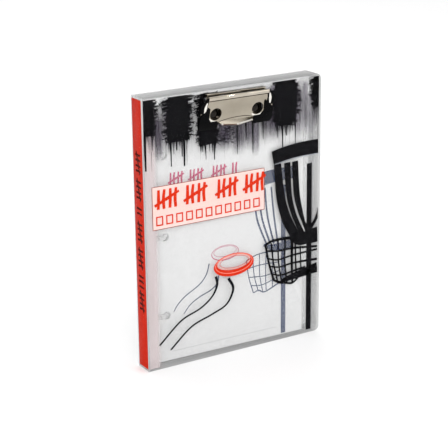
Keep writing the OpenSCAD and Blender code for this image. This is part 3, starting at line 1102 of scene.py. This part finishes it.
SHEET_TARGET = BasketTarget(
    band=((106.7, 147.4), (118.0, 150.2), (132.0, 151.6), (148.0, 151.8)),
    band_width=(12.6, 12.0, 11.6, 11.4),
    seam=((110.0, 142.9), (120.0, 145.4), (129.0, 147.0)),
    chains=(
        (((109.4, 142.0), (111.2, 116.5), (120.8, 91.0)), (1.7, 1.8, 1.8)),
        (((113.8, 142.0), (116.2, 116.5), (124.7, 90.5)), (1.7, 1.8, 1.8)),
        (((119.4, 142.0), (122.0, 116.5), (128.6, 90.0)), (1.7, 1.8, 1.8)),
        (((125.8, 142.0), (128.5, 116.5), (132.6, 89.5)), (1.7, 1.8, 1.8)),
        (((118.0, 90.4), (128.0, 86.6), (148.0, 86.4)), (2.4, 6.0, 9.0)),
    ),
    pole=(135.8, 4.4, 140.6, 142.0),
    wires=(
        (((100.5, 79.1), (110.0, 82.6), (120.6, 83.4), (134.0, 82.0)), (1.0, 1.0, 1.0, 1.0)),
        (((101.4, 71.6), (110.0, 72.6), (121.0, 72.8), (134.0, 72.0)), (0.9, 0.9, 0.9, 0.9)),
        (((102.3, 63.5), (111.0, 62.6), (120.0, 62.0), (134.0, 64.0)), (0.9, 0.9, 0.9, 0.9)),
        (((104.8, 55.6), (112.0, 54.2), (120.0, 54.6), (134.0, 59.0)), (0.9, 0.9, 0.9, 0.9)),
        (((107.5, 48.3), (113.0, 49.6), (119.2, 47.1), (133.8, 52.6)), (1.0, 1.0, 1.2, 1.4)),
        (((100.5, 79.1), (103.0, 63.0), (107.5, 48.3)), (1.0, 0.9, 1.0)),
        (((107.0, 81.6), (108.4, 64.0), (112.6, 48.6)), (0.9, 0.9, 0.9)),
        (((113.8, 82.8), (114.0, 64.0), (117.0, 47.6)), (0.9, 0.9, 0.9)),
        (((120.6, 83.0), (120.0, 64.0), (120.6, 48.4)), (1.0, 0.9, 1.0)),
        (((127.6, 82.6), (127.0, 66.0), (127.0, 50.6)), (0.9, 0.9, 0.9)),
    ),
)


@dataclass(frozen=True)
class FlyingDisc:
    """A printed flying disc seen from above its edge: a rim that is thick below."""

    centre: tuple[float, float]
    outer: tuple[float, float]
    inner: tuple[float, float]
    shift: float
    line: float
    light_lines: tuple[float, float] = (0.45, 1.12)  # places from the rim's outside to its inside

    def draw(self, pen: Pen) -> None:
        """Draws the rim.

        Args:
            pen: drawing that takes it.
        """
        pen.hoop(self.centre, self.outer, self.inner, self.shift)

    def draw_edge_line(self, pen: Pen) -> None:
        """Draws the light line inside the rim and the one on the disc's top.

        Args:
            pen: drawing that takes it.
        """
        for share in self.light_lines:
            mid = [o + (i - o) * share for o, i in zip(self.outer, self.inner)]
            spot = (self.centre[0], self.centre[1] + self.shift * share)
            pen.hoop(spot, (mid[0], mid[1]), (mid[0] - self.line, mid[1] - self.line))


@dataclass
class FrontArt:
    """The printed front cover: forest, basket target, disc, flight lines and title panel."""

    plane: PrintPlane
    left: float = 1.4  # edges of the printed field
    right: float = 172.8
    top: float = 233.9
    haze_depth: float = 0.33
    ink_depth: float = 0.29
    upper_depth: float = 0.25
    top_depth: float = 0.22
    title_box: tuple[float, float, float, float] = (7.5, 124.0, 116.9, 161.2)
    title_line: float = 0.5  # of the panel's frame
    marks: TallyRow = TallyRow(((4, 7.6), (4, 10.6), (4, 7.6), (4, 0)), 16.6, 5.5, 3.0)
    marks_at: tuple[float, float] = (5.6, 17.4)  # from the panel's lower left corner
    boxes: BoxRow = BoxRow(11, 9.45, (6.6, 8.2), 1.15)
    boxes_at: tuple[float, float] = (3.4, 3.4)
    disc: FlyingDisc = FlyingDisc((85.6, 79.9), (20.2, 10.2), (16.8, 6.7), 2.3, 0.45)
    disc_top: tuple[tuple[float, float], ...] = ((85.9, 82.4), (14.6, 5.3), (14.1, 4.9))
    flight: FlightLines = FlightLines(
        (
            ((67.5, 72.6), (68.4, 64.7), (63.3, 55.1), (51.5, 46.8), (32.6, 39.6), (11.2, 21.8)),
            ((79.9, 68.6), (84.6, 58.0), (77.9, 45.3), (63.1, 39.0), (42.5, 32.0), (21.8, 15.4)),
        ),
        (2.7, 2.4, 1.7, 1.5, 1.6, 1.7),
        48,
    )
    seed: int = 20
    trees: tuple[Conifer, ...] = (
        Conifer(-7.0, 13.6, 233.6, 204.0, ((2.7, 175.5, Trunk.HEAVY), (9.0, 192.0, Trunk.FINE))),
        Conifer(
            19.5,
            47.5,
            233.8,
            196.0,
            (
                (26.4, 176.0, Trunk.MIDDLE),
                (38.7, 174.5, Trunk.HEAVY),
                (31.8, 189.0, Trunk.MIDDLE),
                (36.8, 183.0, Trunk.MIDDLE),
                (29.0, 186.0, Trunk.FINE),
            ),
            1.1,
        ),
        Conifer(
            50.5,
            72.0,
            232.0,
            189.0,
            (
                (59.4, 177.0, Trunk.FINE),
                (67.6, 175.6, Trunk.MIDDLE),
                (66.0, 182.0, Trunk.FINE),
                (56.0, 184.0, Trunk.FINE),
            ),
        ),
        Conifer(
            123.0,
            153.0,
            233.8,
            195.0,
            (
                (135.5, 172.0, Trunk.MIDDLE),
                (148.7, 172.0, Trunk.FINE),
                (139.6, 186.0, Trunk.MIDDLE),
                (130.0, 185.0, Trunk.FINE),
            ),
            1.1,
        ),
        Conifer(164.0, 182.0, 233.0, 207.0, ((172.3, 176.0, Trunk.FINE),)),
    )
    # left, right, bottom, top, density of each soft far tree
    haze: tuple[tuple[float, float, float, float, float], ...] = (
        (3, 19, 186, 224, 0.7),
        (11, 20, 178, 218, 0.9),
        (15, 48, 184, 234, 0.9),
        (51, 62, 186, 222, 0.7),
        (60, 90, 178, 216, 0.85),
        (72, 86, 180, 212, 0.8),
        (84, 99, 174, 214, 0.95),
        (95, 108, 176, 216, 0.9),
        (104, 113, 170, 212, 0.95),
        (110, 136, 178, 232, 0.95),
        (118, 158, 184, 234, 0.9),
        (146, 157, 176, 226, 0.75),
        (155, 162, 178, 232, 0.9),
        (158, 171, 180, 222, 0.6),
        (165, 174, 186, 228, 0.7),
    )

    def build(self) -> None:
        """Builds every printed layer of the front cover."""
        self.build_film()
        self.build_haze()
        chance = random.Random(self.seed)
        forest = Pen()
        for tree in self.trees:
            tree.draw(forest, chance)
        self.fine_trunks(forest, chance)
        self.lacy_branches(forest, chance)
        self.keep_inside(forest)
        self.lay(forest, "forest_print", self.ink_depth, BLACK_INK)
        target = Pen()
        FRONT_TARGET.draw(target)
        self.keep_inside(target)
        self.lay(target, "basket_print", self.upper_depth, BLACK_INK)
        seam = Pen()
        seam.stroke(FRONT_TARGET.seam, [0.5, 0.9, 0.9, 0.8], 16)
        self.lay(seam, "basket_seam_print", self.top_depth, SHEET_GREY)
        self.build_disc()
        self.build_lines()
        self.build_title()

    def lay(self, pen: Pen, name: str, depth: float, finish: Finish) -> None:
        """Lays one drawing on the front cover."""
        pen.piece(name, self.plane, depth, finish, "case_front", "print_front")

    def keep_inside(self, pen: Pen) -> None:
        """Trims a drawing at the print's left, right and top edges.

        Args:
            pen: the drawing.
        """
        for spot, way in (
            ((self.left, 0, 0), (-1, 0, 0)),
            ((self.right, 0, 0), (1, 0, 0)),
            ((0, self.top, 0), (0, 1, 0)),
        ):
            geom = [*pen.bm.verts, *pen.bm.edges, *pen.bm.faces]
            bmesh.ops.bisect_plane(
                pen.bm, geom=geom, plane_co=spot, plane_no=way, clear_outer=True
            )

    def build_film(self) -> None:
        """Builds the clear film that carries the print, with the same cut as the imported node."""
        film = eased_copy("front_print", "front_print_film", PRINT_FILM, 0.02, 1)
        mount(film, "case_front", "print_front", "front_print")

    def build_haze(self) -> None:
        """Builds the far trees as soft blades with their own map and density."""
        bm = bmesh.new()
        soft = bm.loops.layers.uv.new(HAZE_MAP)
        dense = bm.verts.layers.float.new(HAZE_DENSITY)
        for left, right, low, high, density in self.haze:
            made = bmesh.ops.create_grid(bm, x_segments=1, y_segments=1, size=0.5)["verts"]
            for face in {f for v in made for f in v.link_faces}:
                for loop in face.loops:
                    loop[soft].uv = (loop.vert.co.x + 0.5, loop.vert.co.y + 0.5)
            for v in made:
                x, z = v.co.x + 0.5, v.co.y + 0.5
                v.co = Vector((left + x * (right - left), low + z * (high - low), 0))
                v[dense] = density
        for i, face in enumerate(bm.faces):  # each blade a little deeper than the last
            for v in face.verts:
                v.co.z -= 0.002 * i
        bmesh.ops.transform(bm, matrix=self.plane.matrix(self.haze_depth), verts=bm.verts)
        mount(piece_from(bm, "haze_print", HAZE), "case_front", "print_front")

    def fine_trunks(self, pen: Pen, chance: random.Random) -> None:
        """Draws the thin dripping trunks between the trees.

        Args:
            pen: the drawing.
            chance: seeded source of their places and lengths.
        """
        for x, low in ((90.0, 177.0), (105.2, 176.0), (98.6, 188.0), (115.6, 186.0)):
            pen.stroke([(x, 206), (x + 0.2, low)], [1.8, 1.1, 0.4], 4)
        for _ in range(70):
            x = chance.uniform(4, 171)
            low = chance.uniform(174, 198)
            width = chance.uniform(0.15, 0.5)
            pen.stroke([(x, low + chance.uniform(14, 26)), (x, low)], [width, 0.06], 1)

    def lacy_branches(self, pen: Pen, chance: random.Random) -> None:
        """Draws the open twigs below the clip, at the right of the middle tree.

        Args:
            pen: the drawing.
            chance: seeded source of irregularity.
        """
        for _ in range(130):
            x, z = chance.uniform(68, 86), chance.uniform(188, 202)
            run, rise = chance.uniform(1.5, 5.0), chance.uniform(-2.6, 2.6)
            bend = chance.uniform(-0.8, 0.8)
            pen.stroke(
                [(x, z), (x + run / 2, z + rise / 2 + bend), (x + run, z + rise)],
                [0.5, 0.3, 0.12],
                4,
            )

    def build_disc(self) -> None:
        """Prints the red disc with its lighter lines."""
        rim = Pen()
        self.disc.draw(rim)
        rim.hoop(*self.disc_top)
        self.lay(rim, "disc_print", self.ink_depth, RED_INK)
        lines = Pen()
        self.disc.draw_edge_line(lines)
        self.lay(lines, "disc_edge_print", self.upper_depth, PALE_INK)

    def build_lines(self) -> None:
        """Prints the two black flight lines, heavier at their upper ends."""
        lines = Pen()
        self.flight.draw(lines)
        self.lay(lines, "flight_line_print", self.ink_depth, LINE_INK)

    def build_title(self) -> None:
        """Prints the title panel: a pink field, a fine frame, tally marks and score boxes."""
        x0, z0, x1, z1 = self.title_box
        field = Pen()
        field.bar(x0, z0, x1, z1)
        self.lay(field, "title_field_print", self.ink_depth, PANEL_INK)
        frame = Pen()
        frame.frame(x0, z0, x1, z1, self.title_line)
        self.lay(frame, "title_frame_print", self.upper_depth, FRAME_INK)
        marks = Pen()
        self.marks.draw(marks, x0 + self.marks_at[0], z0 + self.marks_at[1])
        self.boxes.draw(marks, x0 + self.boxes_at[0], z0 + self.boxes_at[1])
        self.lay(marks, "title_mark_print", self.top_depth, RED_INK)


@dataclass
class SpineArt:
    """The printed spine strip: a red field with dark tally marks reading downwards."""

    plane: PrintPlane
    mark_depth: float = 0.18
    foot: float = 5.0  # of the marks, from the spine's rear edge
    top: float = 188.0  # where the first mark starts
    row: TallyRow = TallyRow(
        ((4, 6.2), (4, 6.2), (2, 9.0), (4, 6.2), (4, 6.2), (3, 6.2), (4, 0)), 8.4, 4.6, 2.0
    )

    def build(self) -> None:
        """Builds the red strip and its marks."""
        strip = eased_copy("spine_print", "spine_print_strip", SPINE_RED, 0.03, 1)
        mount(strip, "spine", "print_spine", "spine_print")
        marks = Pen()
        self.row.draw(marks, 0, 0)
        # drawn along the strip from its top, then turned to read downwards
        quarter = Matrix.Rotation(math.radians(-90), 4, "Z")
        turn = Matrix.Translation((self.foot, self.top, 0)) @ quarter
        bmesh.ops.transform(marks.bm, matrix=turn, verts=marks.bm.verts)
        marks.piece(
            "spine_mark_print", self.plane, self.mark_depth, SPINE_DARK, "spine", "print_spine"
        )


@dataclass
class PaperStack:
    """The punched sheets on the rings, and the print of their cover sheet."""

    plane: PrintPlane
    lift: float = 0.045  # print above the paper's face
    left: float = 10.0  # the sheet's own left edge in case x
    disc: FlyingDisc = FlyingDisc((79.4, 90.6), (13.6, 6.9), (12.9, 6.2), 0.2, 0.3)
    disc_top: tuple[tuple[float, float], ...] = ((79.4, 91.8), (11.4, 4.7), (10.9, 4.3))
    marks: TallyRow = TallyRow(((4, 5.8), (4, 9.0), (4, 5.8), (2, 0)), 10.8, 3.6, 1.9)
    marks_at: tuple[float, float] = (28.0, 158.4)
    boxes: BoxRow = BoxRow(7, 6.9, (4.4, 4.8), 0.7)
    boxes_at: tuple[float, float] = (41.0, 148.2)
    dashes: BoxRow = BoxRow(34, 3.05, (2.1, 0.35), 0)  # the filled rule along the foot
    dashes_at: tuple[float, float] = (28.0, 11.2)
    flight: FlightLines = FlightLines(
        (
            ((63.6, 83.6), (60.6, 74.1), (53.3, 66.2), (40.4, 59.0), (32.6, 52.6), (28.6, 46.8)),
            ((73.6, 75.6), (71.6, 65.3), (65.6, 59.7), (53.1, 55.0), (44.0, 49.6), (38.2, 42.8)),
        ),
        (1.2, 1.1, 1.0, 0.8),
        32,
    )

    def build(self) -> None:
        """Dresses the sheets and prints the cover sheet."""
        dress("cover_sheet", PAPER)
        dress("score_sheets", PAPER_STACK)
        target = Pen()
        SHEET_TARGET.draw(target)
        self.lay(target, "sheet_basket_print", SHEET_SLATE)
        rose = Pen()
        self.disc.draw(rose)
        rose.hoop(*self.disc_top)
        self.marks.draw(rose, *self.marks_at)
        self.lay(rose, "sheet_rose_print", SHEET_ROSE)
        lines = Pen()
        self.flight.draw(lines)
        self.boxes.draw(lines, *self.boxes_at)
        self.lay(lines, "sheet_line_print", SHEET_SLATE)
        rule = Pen()
        self.dashes.draw(rule, *self.dashes_at)
        self.lay(rule, "sheet_rule_print", SHEET_GREY)

    def lay(self, pen: Pen, name: str, finish: Finish) -> None:
        """Lays a drawing given in case x on the leaning sheet."""
        shift = Matrix.Translation((-self.left, 0, 0))
        bmesh.ops.transform(pen.bm, matrix=shift, verts=pen.bm.verts)
        pen.piece(name, self.plane, -self.lift, finish, "case_back", "paper")


# --- rings and clip --------------------------------------------------------------------------


@dataclass
class RingMechanism:
    """Ring strip, swinging gate, pin and stakes."""

    edge: float = 0.3

    def build(self) -> None:
        """Builds the strip and gate with eased edges and dresses the rest."""
        strip = eased_copy("ring_base", "ring_base_moulding", NATURAL_PP, self.edge)
        mount(strip, "case_back", "ring_plastic", "ring_base")
        gate = eased_copy("ring_gate", "ring_gate_moulding", NATURAL_PP, self.edge)
        mount(gate, "gate", "ring_plastic", "ring_gate")
        dress("ring_base_stakes", ACETAL)
        dress("gate_hinge_pin", SPRING_STEEL)


@dataclass
class TorsionSpring:
    """A wound torsion spring round the clip's rod, with one leg to the board and one to the jaw."""

    wire: float = 0.45
    turns: float = 5.5
    steps_per_turn: int = 24
    base_leg: float = 10.4
    jaw_leg: float = 6.6
    base_lean: float = 4.0  # of each leg from straight down, in degrees
    jaw_lean: float = 14.5
    sides: int = 10  # of the wire

    def build(self, node: str, axis: Vector) -> None:
        """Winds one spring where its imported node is.

        Args:
            node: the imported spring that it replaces.
            axis: a point on the rod's axis, in metres.
        """
        low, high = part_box(node)
        middle = Vector(((low.x + high.x) / 2, axis.y, axis.z))
        reach = (high.z - axis.z) / MM - self.wire  # coil radius to the wire's middle
        length = (high.x - low.x) / MM - 2 * self.wire
        bm = bmesh.new()
        start = Matrix.Translation((-length / 2, reach, 0))
        bmesh.ops.create_circle(bm, segments=self.sides, radius=self.wire, matrix=start)
        first = list(bm.edges)
        steps = round(self.turns * self.steps_per_turn)
        wound = bmesh.ops.spin(
            bm,
            geom=[*bm.verts, *first],
            cent=(0, 0, 0),
            axis=(1, 0, 0),
            dvec=(length / steps, 0, 0),
            angle=math.tau * self.turns,
            steps=steps,
            use_merge=False,
            use_duplicate=False,
        )["geom_last"]
        last = [e for e in wound if isinstance(e, bmesh.types.BMEdge)]
        for ring, run, lean in (
            (first, self.base_leg, self.base_lean),
            (last, self.jaw_leg, self.jaw_lean),
        ):
            grown = bmesh.ops.extrude_edge_only(bm, edges=ring)["geom"]
            verts = [v for v in grown if isinstance(v, bmesh.types.BMVert)]
            way = Matrix.Rotation(math.radians(lean), 4, "X") @ Vector((0, 0, -run))
            bmesh.ops.translate(bm, vec=way, verts=verts)
        bmesh.ops.holes_fill(bm, edges=[e for e in bm.edges if e.is_boundary], sides=self.sides)
        bmesh.ops.recalc_face_normals(bm, faces=bm.faces)
        place = Matrix.Translation(middle) @ Matrix.Scale(MM, 4)
        bmesh.ops.transform(bm, matrix=place, verts=bm.verts)
        spring = piece_from(bm, f"{node}_wire", SPRING_STEEL)
        spring.data.shade_smooth()
        mount(spring, "case_front", "steel", node)


@dataclass
class SpringClip:
    """The spring clip: base pressing, jaw, rod, springs, rivets and corner grips."""

    front: float  # the case's front face in the part's frame, in metres
    sheet_edge: float = 0.22
    grip_edge: float = 0.6
    lean: float = 14.5  # slope of the jaw's face in degrees
    hem_round: float = 1.25
    hem_foot: float = 2.45  # from the hem's middle down to where it meets the face
    side: float = 28.9  # from the clip's middle to the end of the hem
    rivet_pitch: float = 40.6
    rivet_down: float = 15.18  # from the hem's middle, along the face
    rivet_height: float = 215.3
    lip_round: float = 6.6  # radius of the painted highlight on the lip under each hole
    tab_down: float = 22.72  # from the hem's middle to the tab's crease, along the face
    tab_slope: float = 43.0  # of the tab, from level, in degrees
    sheet: float = 0.9  # thickness of the steel
    plate_top: float = 0.9  # the base pressing's face, in front of the case
    dark_reflection: float = 0.5  # thickness of the black vinyl sheet up the shoulders, a painted dark reflection of their rolled steel
    dark_reflection_path: Path = ((30.0, 0.6), (30.4, -3.0), (32.4, -7.0), (32.4, -13.0))
    dark_reflection_width: tuple[float, ...] = (2.2, 3.4, 7.0, 7.0)
    highlight_path: Path = ((30.2, -3.4), (31.2, -8.0), (31.6, -13.0))
    highlight_width: tuple[float, ...] = (0.9, 2.6, 1.4)
    # name and side of each shoulder, and how far its painted highlight strip is moved up
    shoulders: tuple[tuple[str, int, float], ...] = (("left", -1, 0.0), ("right", 1, 1.4))
    crease: float = 0.7  # height of the painted shade line under the hem
    tab_crease: Path = ((-16.5, -22.4), (-5, -20.6), (8, -20.4), (16.5, -22.2))
    lip_highlight_arcs: tuple[tuple[int, float, float], ...] = ((-1, 205, 285), (1, 215, 325))
    lip_highlight_width: tuple[float, ...] = (0.2, 1.5, 1.7, 1.5, 0.2)
    red_reflection_path: Path = ((-14.4, -3.6), (-7.0, -4.6), (0, -5.5))
    red_reflection_width: tuple[float, ...] = (0.7, 0.8, 0.7)
    glint_path: Path = ((1.5, -5.0), (8.0, -4.1), (14.4, -3.2))
    glint_width: tuple[float, ...] = (1.2, 1.3, 1.2)
    corners: Path = ((-15.2, -4.1), (-1.0, -5.9), (13.6, -3.9))  # painted highlights where the tab's edge turns
    corner: tuple[float, float] = (1.6, 1.5)
    hole_shade: tuple[float, float] = (6.2, 3.7)  # radii of the painted shade ring round a rivet's head, in its access hole

    def jaw_plane(self) -> PrintPlane:
        """Finds the outer face of the jaw.

        Returns:
            Its plane, starting in the middle of the hem and pointing up along the jaw.
        """
        low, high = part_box("clip_jaw")
        start = Vector(((low.x + high.x) / 2, low.y, high.z))
        turn = math.radians(self.lean)
        return PrintPlane(
            start + Vector((0, self.hem_round, -self.hem_round)) * MM,
            Vector((1, 0, 0)),
            Vector((0, -math.sin(turn), math.cos(turn))),
        )

    def build(self) -> None:
        """Builds every part of the clip."""
        self.build_jaw()
        base = eased_copy("clip_base_plate", "clip_base_pressing", NICKEL, self.sheet_edge)
        mount(base, "case_front", "nickel", "clip_base_plate")
        for side in ("left", "right"):
            node = f"jaw_grip_{side}"
            grip = eased_copy(node, f"{node}_moulding", VINYL, self.grip_edge, 3)
            mount(grip, "jaw", "rubber", node)
        self.build_shoulders()
        self.build_folds()
        self.build_hole_shades()
        low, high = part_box("clip_hinge_rod")
        axis = (low + high) / 2
        for side in ("left", "right"):
            TorsionSpring().build(f"clip_spring_{side}", axis)
        dress("clip_rivets", SHADED_RIVET_NICKEL)
        dress("clip_washers", SPRING_STEEL)
        dress("clip_hinge_rod", SPRING_STEEL)

    def build_jaw(self) -> None:
        """Builds the jaw, its hem in a brighter copy of the nickel as a painted highlight."""
        jaw = eased_copy("clip_jaw", "clip_jaw_pressing", NICKEL, self.sheet_edge)
        jaw.data.materials.append(HEM_HIGHLIGHT_NICKEL.material())
        plane = self.jaw_plane()
        out = plane.right.cross(plane.up)
        for face in jaw.data.polygons:
            from_hem = face.center - plane.origin
            near = abs(from_hem.dot(plane.up)) < self.hem_foot * MM
            # the hem's outer faces take the painted highlight copy
            if near and from_hem.dot(out) > 0.05 * MM:
                face.material_index = 1
        mount(jaw, "jaw", "nickel", "clip_jaw")

    def build_shoulders(self) -> None:
        """Builds painted light on the jaw's shoulders: black vinyl as a painted dark reflection,
        and a painted highlight strip on each.
        """
        plane = self.jaw_plane()
        half = 0.5 * self.dark_reflection
        for name, side, lift in self.shoulders:
            # painted dark reflection and shade of the rolled shoulder, in black vinyl
            dark_reflection = Pen()
            dark_reflection.stroke([(side * x, z) for x, z in self.dark_reflection_path], self.dark_reflection_width, 12)
            made = dark_reflection.piece(
                f"jaw_dark_reflection_{name}", plane, -2 * half, VINYL, "jaw", "rubber", self.dark_reflection
            )
            soften(made, 0.15)
            # painted highlight strip on the shoulder
            highlight = Pen()
            highlight.stroke([(side * x, lift + z) for x, z in self.highlight_path], self.highlight_width, 10)
            made = highlight.piece(
                f"jaw_highlight_{name}", plane, -3 * half, HIGHLIGHT_NICKEL, "jaw", "nickel", half
            )
            soften(made, 0.1)

    def build_folds(self) -> None:
        """Draws painted shade along the crease under the hem and the tab's crease, and painted
        highlights on the lips of the holes.
        """
        plane = self.jaw_plane()
        creases = Pen()
        creases.bar(-self.side, -self.hem_foot - self.crease, self.side, -self.hem_foot)
        creases.stroke(self.tab_crease, [0.5, 0.6, 0.5], 16)
        creases.piece("jaw_crease", plane, -0.04, SHADE_STEEL, "jaw", "nickel")
        # painted highlight crescents on the lips under the holes
        lips = Pen()
        for side, start, end in self.lip_highlight_arcs:
            arc = []
            for k in range(7):
                turn = math.radians(start + (end - start) * k / 6)
                x = side * self.rivet_pitch / 2 + self.lip_round * math.cos(turn)
                arc.append((x, self.lip_round * math.sin(turn) - self.rivet_down))
            lips.stroke(arc, self.lip_highlight_width, 18)
        lips.piece("jaw_hole_lip_highlight", plane, -0.08, HIGHLIGHT_NICKEL, "jaw", "nickel")
        self.build_tab_edge()

    def build_tab_edge(self) -> None:
        """Draws the thumb tab's lower edge: a painted reflection of the red title, and painted
        highlights where it turns up.
        """
        face = self.jaw_plane()
        out = face.right.cross(face.up)
        turn = math.radians(self.tab_slope)
        up = Vector((0, math.cos(turn), math.sin(turn)))
        way = face.right.cross(up)
        start = face.origin - (face.up * self.tab_down + (out - way) * self.sheet / 2) * MM
        plane = PrintPlane(start, face.right, up)
        dark = Pen()
        dark.stroke(self.red_reflection_path, self.red_reflection_width, 6)
        dark.piece("tab_edge_red_reflection", plane, -0.03, TAB_RED_REFLECTION, "jaw", "nickel")
        bright = Pen()
        bright.stroke(self.glint_path, self.glint_width, 6)
        for x, y in self.corners:
            bright.bar(x, y, x + self.corner[0], y + self.corner[1])
        bright.piece("tab_edge_highlight", plane, -0.06, HIGHLIGHT_NICKEL, "jaw", "nickel")

    def build_hole_shades(self) -> None:
        """Draws painted shade rings round the rivets' heads, in the jaw's access holes."""
        middle = self.jaw_plane().origin.x
        plane = PrintPlane(
            Vector((middle, self.front, 0)), Vector((1, 0, 0)), Vector((0, 0, 1))
        )
        outer, inner = self.hole_shade
        hole_shades = Pen()
        for side in (-1, 1):
            spot = (side * self.rivet_pitch / 2, self.rivet_height)
            hole_shades.hoop(spot, (outer, outer), (inner, inner))
        hole_shades.piece(
            "rivet_hole_shade", plane, -self.plate_top - 0.06, SHADE_STEEL, "case_front", "nickel"
        )


# --- studio ----------------------------------------------------------------------------------


class LampPlace(Enum):
    """Where each soft light stands, its size and its power: x, y, z, width in metres, watts."""

    KEY = (-1.3, -1.9, 1.5, 1.6, 26.0)
    FILL = (1.9, -1.3, 1.1, 1.4, 9.0)
    BACK = (0.4, 1.6, 1.9, 1.8, 14.0)
    GLINT_LEFT = (-1.5, -1.3, 0.9, 0.13, 5.0)
    GLINT_RIGHT = (0.9, -1.7, 1.3, 0.13, 5.0)


@dataclass
class Studio:
    """Floor, soft light and the camera."""

    corner: Vector  # where the spine's outer face and the front face meet the floor
    lens: float = 113.93
    eye: tuple[float, float, float] = (-518.56, -972.53, 486.62)  # in the case's own frame
    right: tuple[float, float, float] = (0.85144, -0.52434, -0.01043)
    up: tuple[float, float, float] = (0.16976, 0.25673, 0.95146)
    sky: float = 0.8
    floor_size: float = 9.0
    sink: float = 0.0001  # of the floor under the case, so that the two don't share a plane
    rim: tuple[float, float] = (1.04, 0.1)  # how far the floor's edge spreads and turns up
    aim: tuple[float, float, float] = (0, 0, 0.12)

    def build(self) -> None:
        """Builds the floor, sky, lamps and camera."""
        self.build_floor()
        self.build_light()
        self.build_camera()

    def build_floor(self) -> None:
        """Builds the pale floor just under the case, its rim turned up out of sight."""
        bm = bmesh.new()
        bmesh.ops.create_grid(bm, x_segments=8, y_segments=8, size=self.floor_size / 2)
        bmesh.ops.translate(bm, vec=(0, 0, -self.sink), verts=bm.verts)
        rim = [e for e in bm.edges if e.is_boundary]
        grown = bmesh.ops.extrude_edge_only(bm, edges=rim)["geom"]
        verts = [v for v in grown if isinstance(v, bmesh.types.BMVert)]
        spread, rise = self.rim
        bmesh.ops.scale(bm, vec=(spread, spread, 1), verts=verts)
        bmesh.ops.translate(bm, vec=(0, 0, rise), verts=verts)
        floor = piece_from(bm, "studio_floor", FLOOR)

    def build_light(self) -> None:
        """Builds an even sky and the lamps, which aim at the middle of the case."""
        world = bpy.data.worlds.new("studio_sky")
        world.use_nodes = True
        world.node_tree.nodes.clear()
        sky = add(
            world.node_tree,
            "ShaderNodeBackground",
            {"Color": linear("#FFFFFF"), "Strength": self.sky},
        )
        add(world.node_tree, "ShaderNodeOutputWorld", {"Surface": sky.outputs[0]})
        bpy.context.scene.world = world
        for place in LampPlace:
            x, y, z, width, power = place.value
            data = bpy.data.lights.new(f"lamp_{place.name.lower()}", "AREA")
            data.shape, data.size, data.energy = "SQUARE", width, power
            lamp = bpy.data.objects.new(data.name, data)
            aim = Vector(self.aim) - Vector((x, y, z))
            turn = aim.to_track_quat("-Z", "Y").to_matrix().to_4x4()
            lamp.matrix_world = Matrix.Translation((x, y, z)) @ turn
            bpy.context.scene.collection.objects.link(lamp)

    def build_camera(self) -> None:
        """Builds the camera from its eye point and its own right and up directions."""
        data = bpy.data.cameras.new("studio_camera")
        data.lens, data.sensor_width = self.lens, 36.0
        data.clip_start, data.clip_end = 0.05, 50
        camera = bpy.data.objects.new("studio_camera", data)
        right, up = Vector(self.right).normalized(), Vector(self.up).normalized()
        turn = Matrix((right, up, right.cross(up))).transposed().to_4x4()
        camera.matrix_world = Matrix.Translation(self.corner + Vector(self.eye) * MM) @ turn
        bpy.context.scene.collection.objects.link(camera)
        bpy.context.scene.camera = camera


def main() -> None:
    """Builds the studio and every sub-assembly."""
    logging.basicConfig(level=logging.INFO, format="%(name)s: %(message)s")
    scene = bpy.context.scene
    scene.view_settings.view_transform = "Standard"
    scene.cycles.transparent_max_bounces = 32
    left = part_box("spine_overlay_film")[0].x
    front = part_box("front_overlay_film")[0].y
    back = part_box("back_overlay_film")[1].y
    front_plane = PrintPlane(Vector((left, front, 0)), Vector((1, 0, 0)), Vector((0, 0, 1)))
    spine_plane = PrintPlane(Vector((left, back, 0)), Vector((0, -1, 0)), Vector((0, 0, 1)))
    low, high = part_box("cover_sheet")
    run = (high.x - low.x) * math.tan(STACK_LEAN)
    sheet_plane = PrintPlane(
        Vector((low.x, low.y + run, 0)),
        Vector((math.cos(STACK_LEAN), -math.sin(STACK_LEAN), 0)),
        Vector((0, 0, 1)),
    )
    Studio(Vector((left, front, 0))).build()
    CaseShell(front_plane).build()
    FrontArt(front_plane).build()
    SpineArt(spine_plane).build()
    PaperStack(sheet_plane).build()
    RingMechanism().build()
    SpringClip(front).build()


if __name__ == "__main__":
    main()
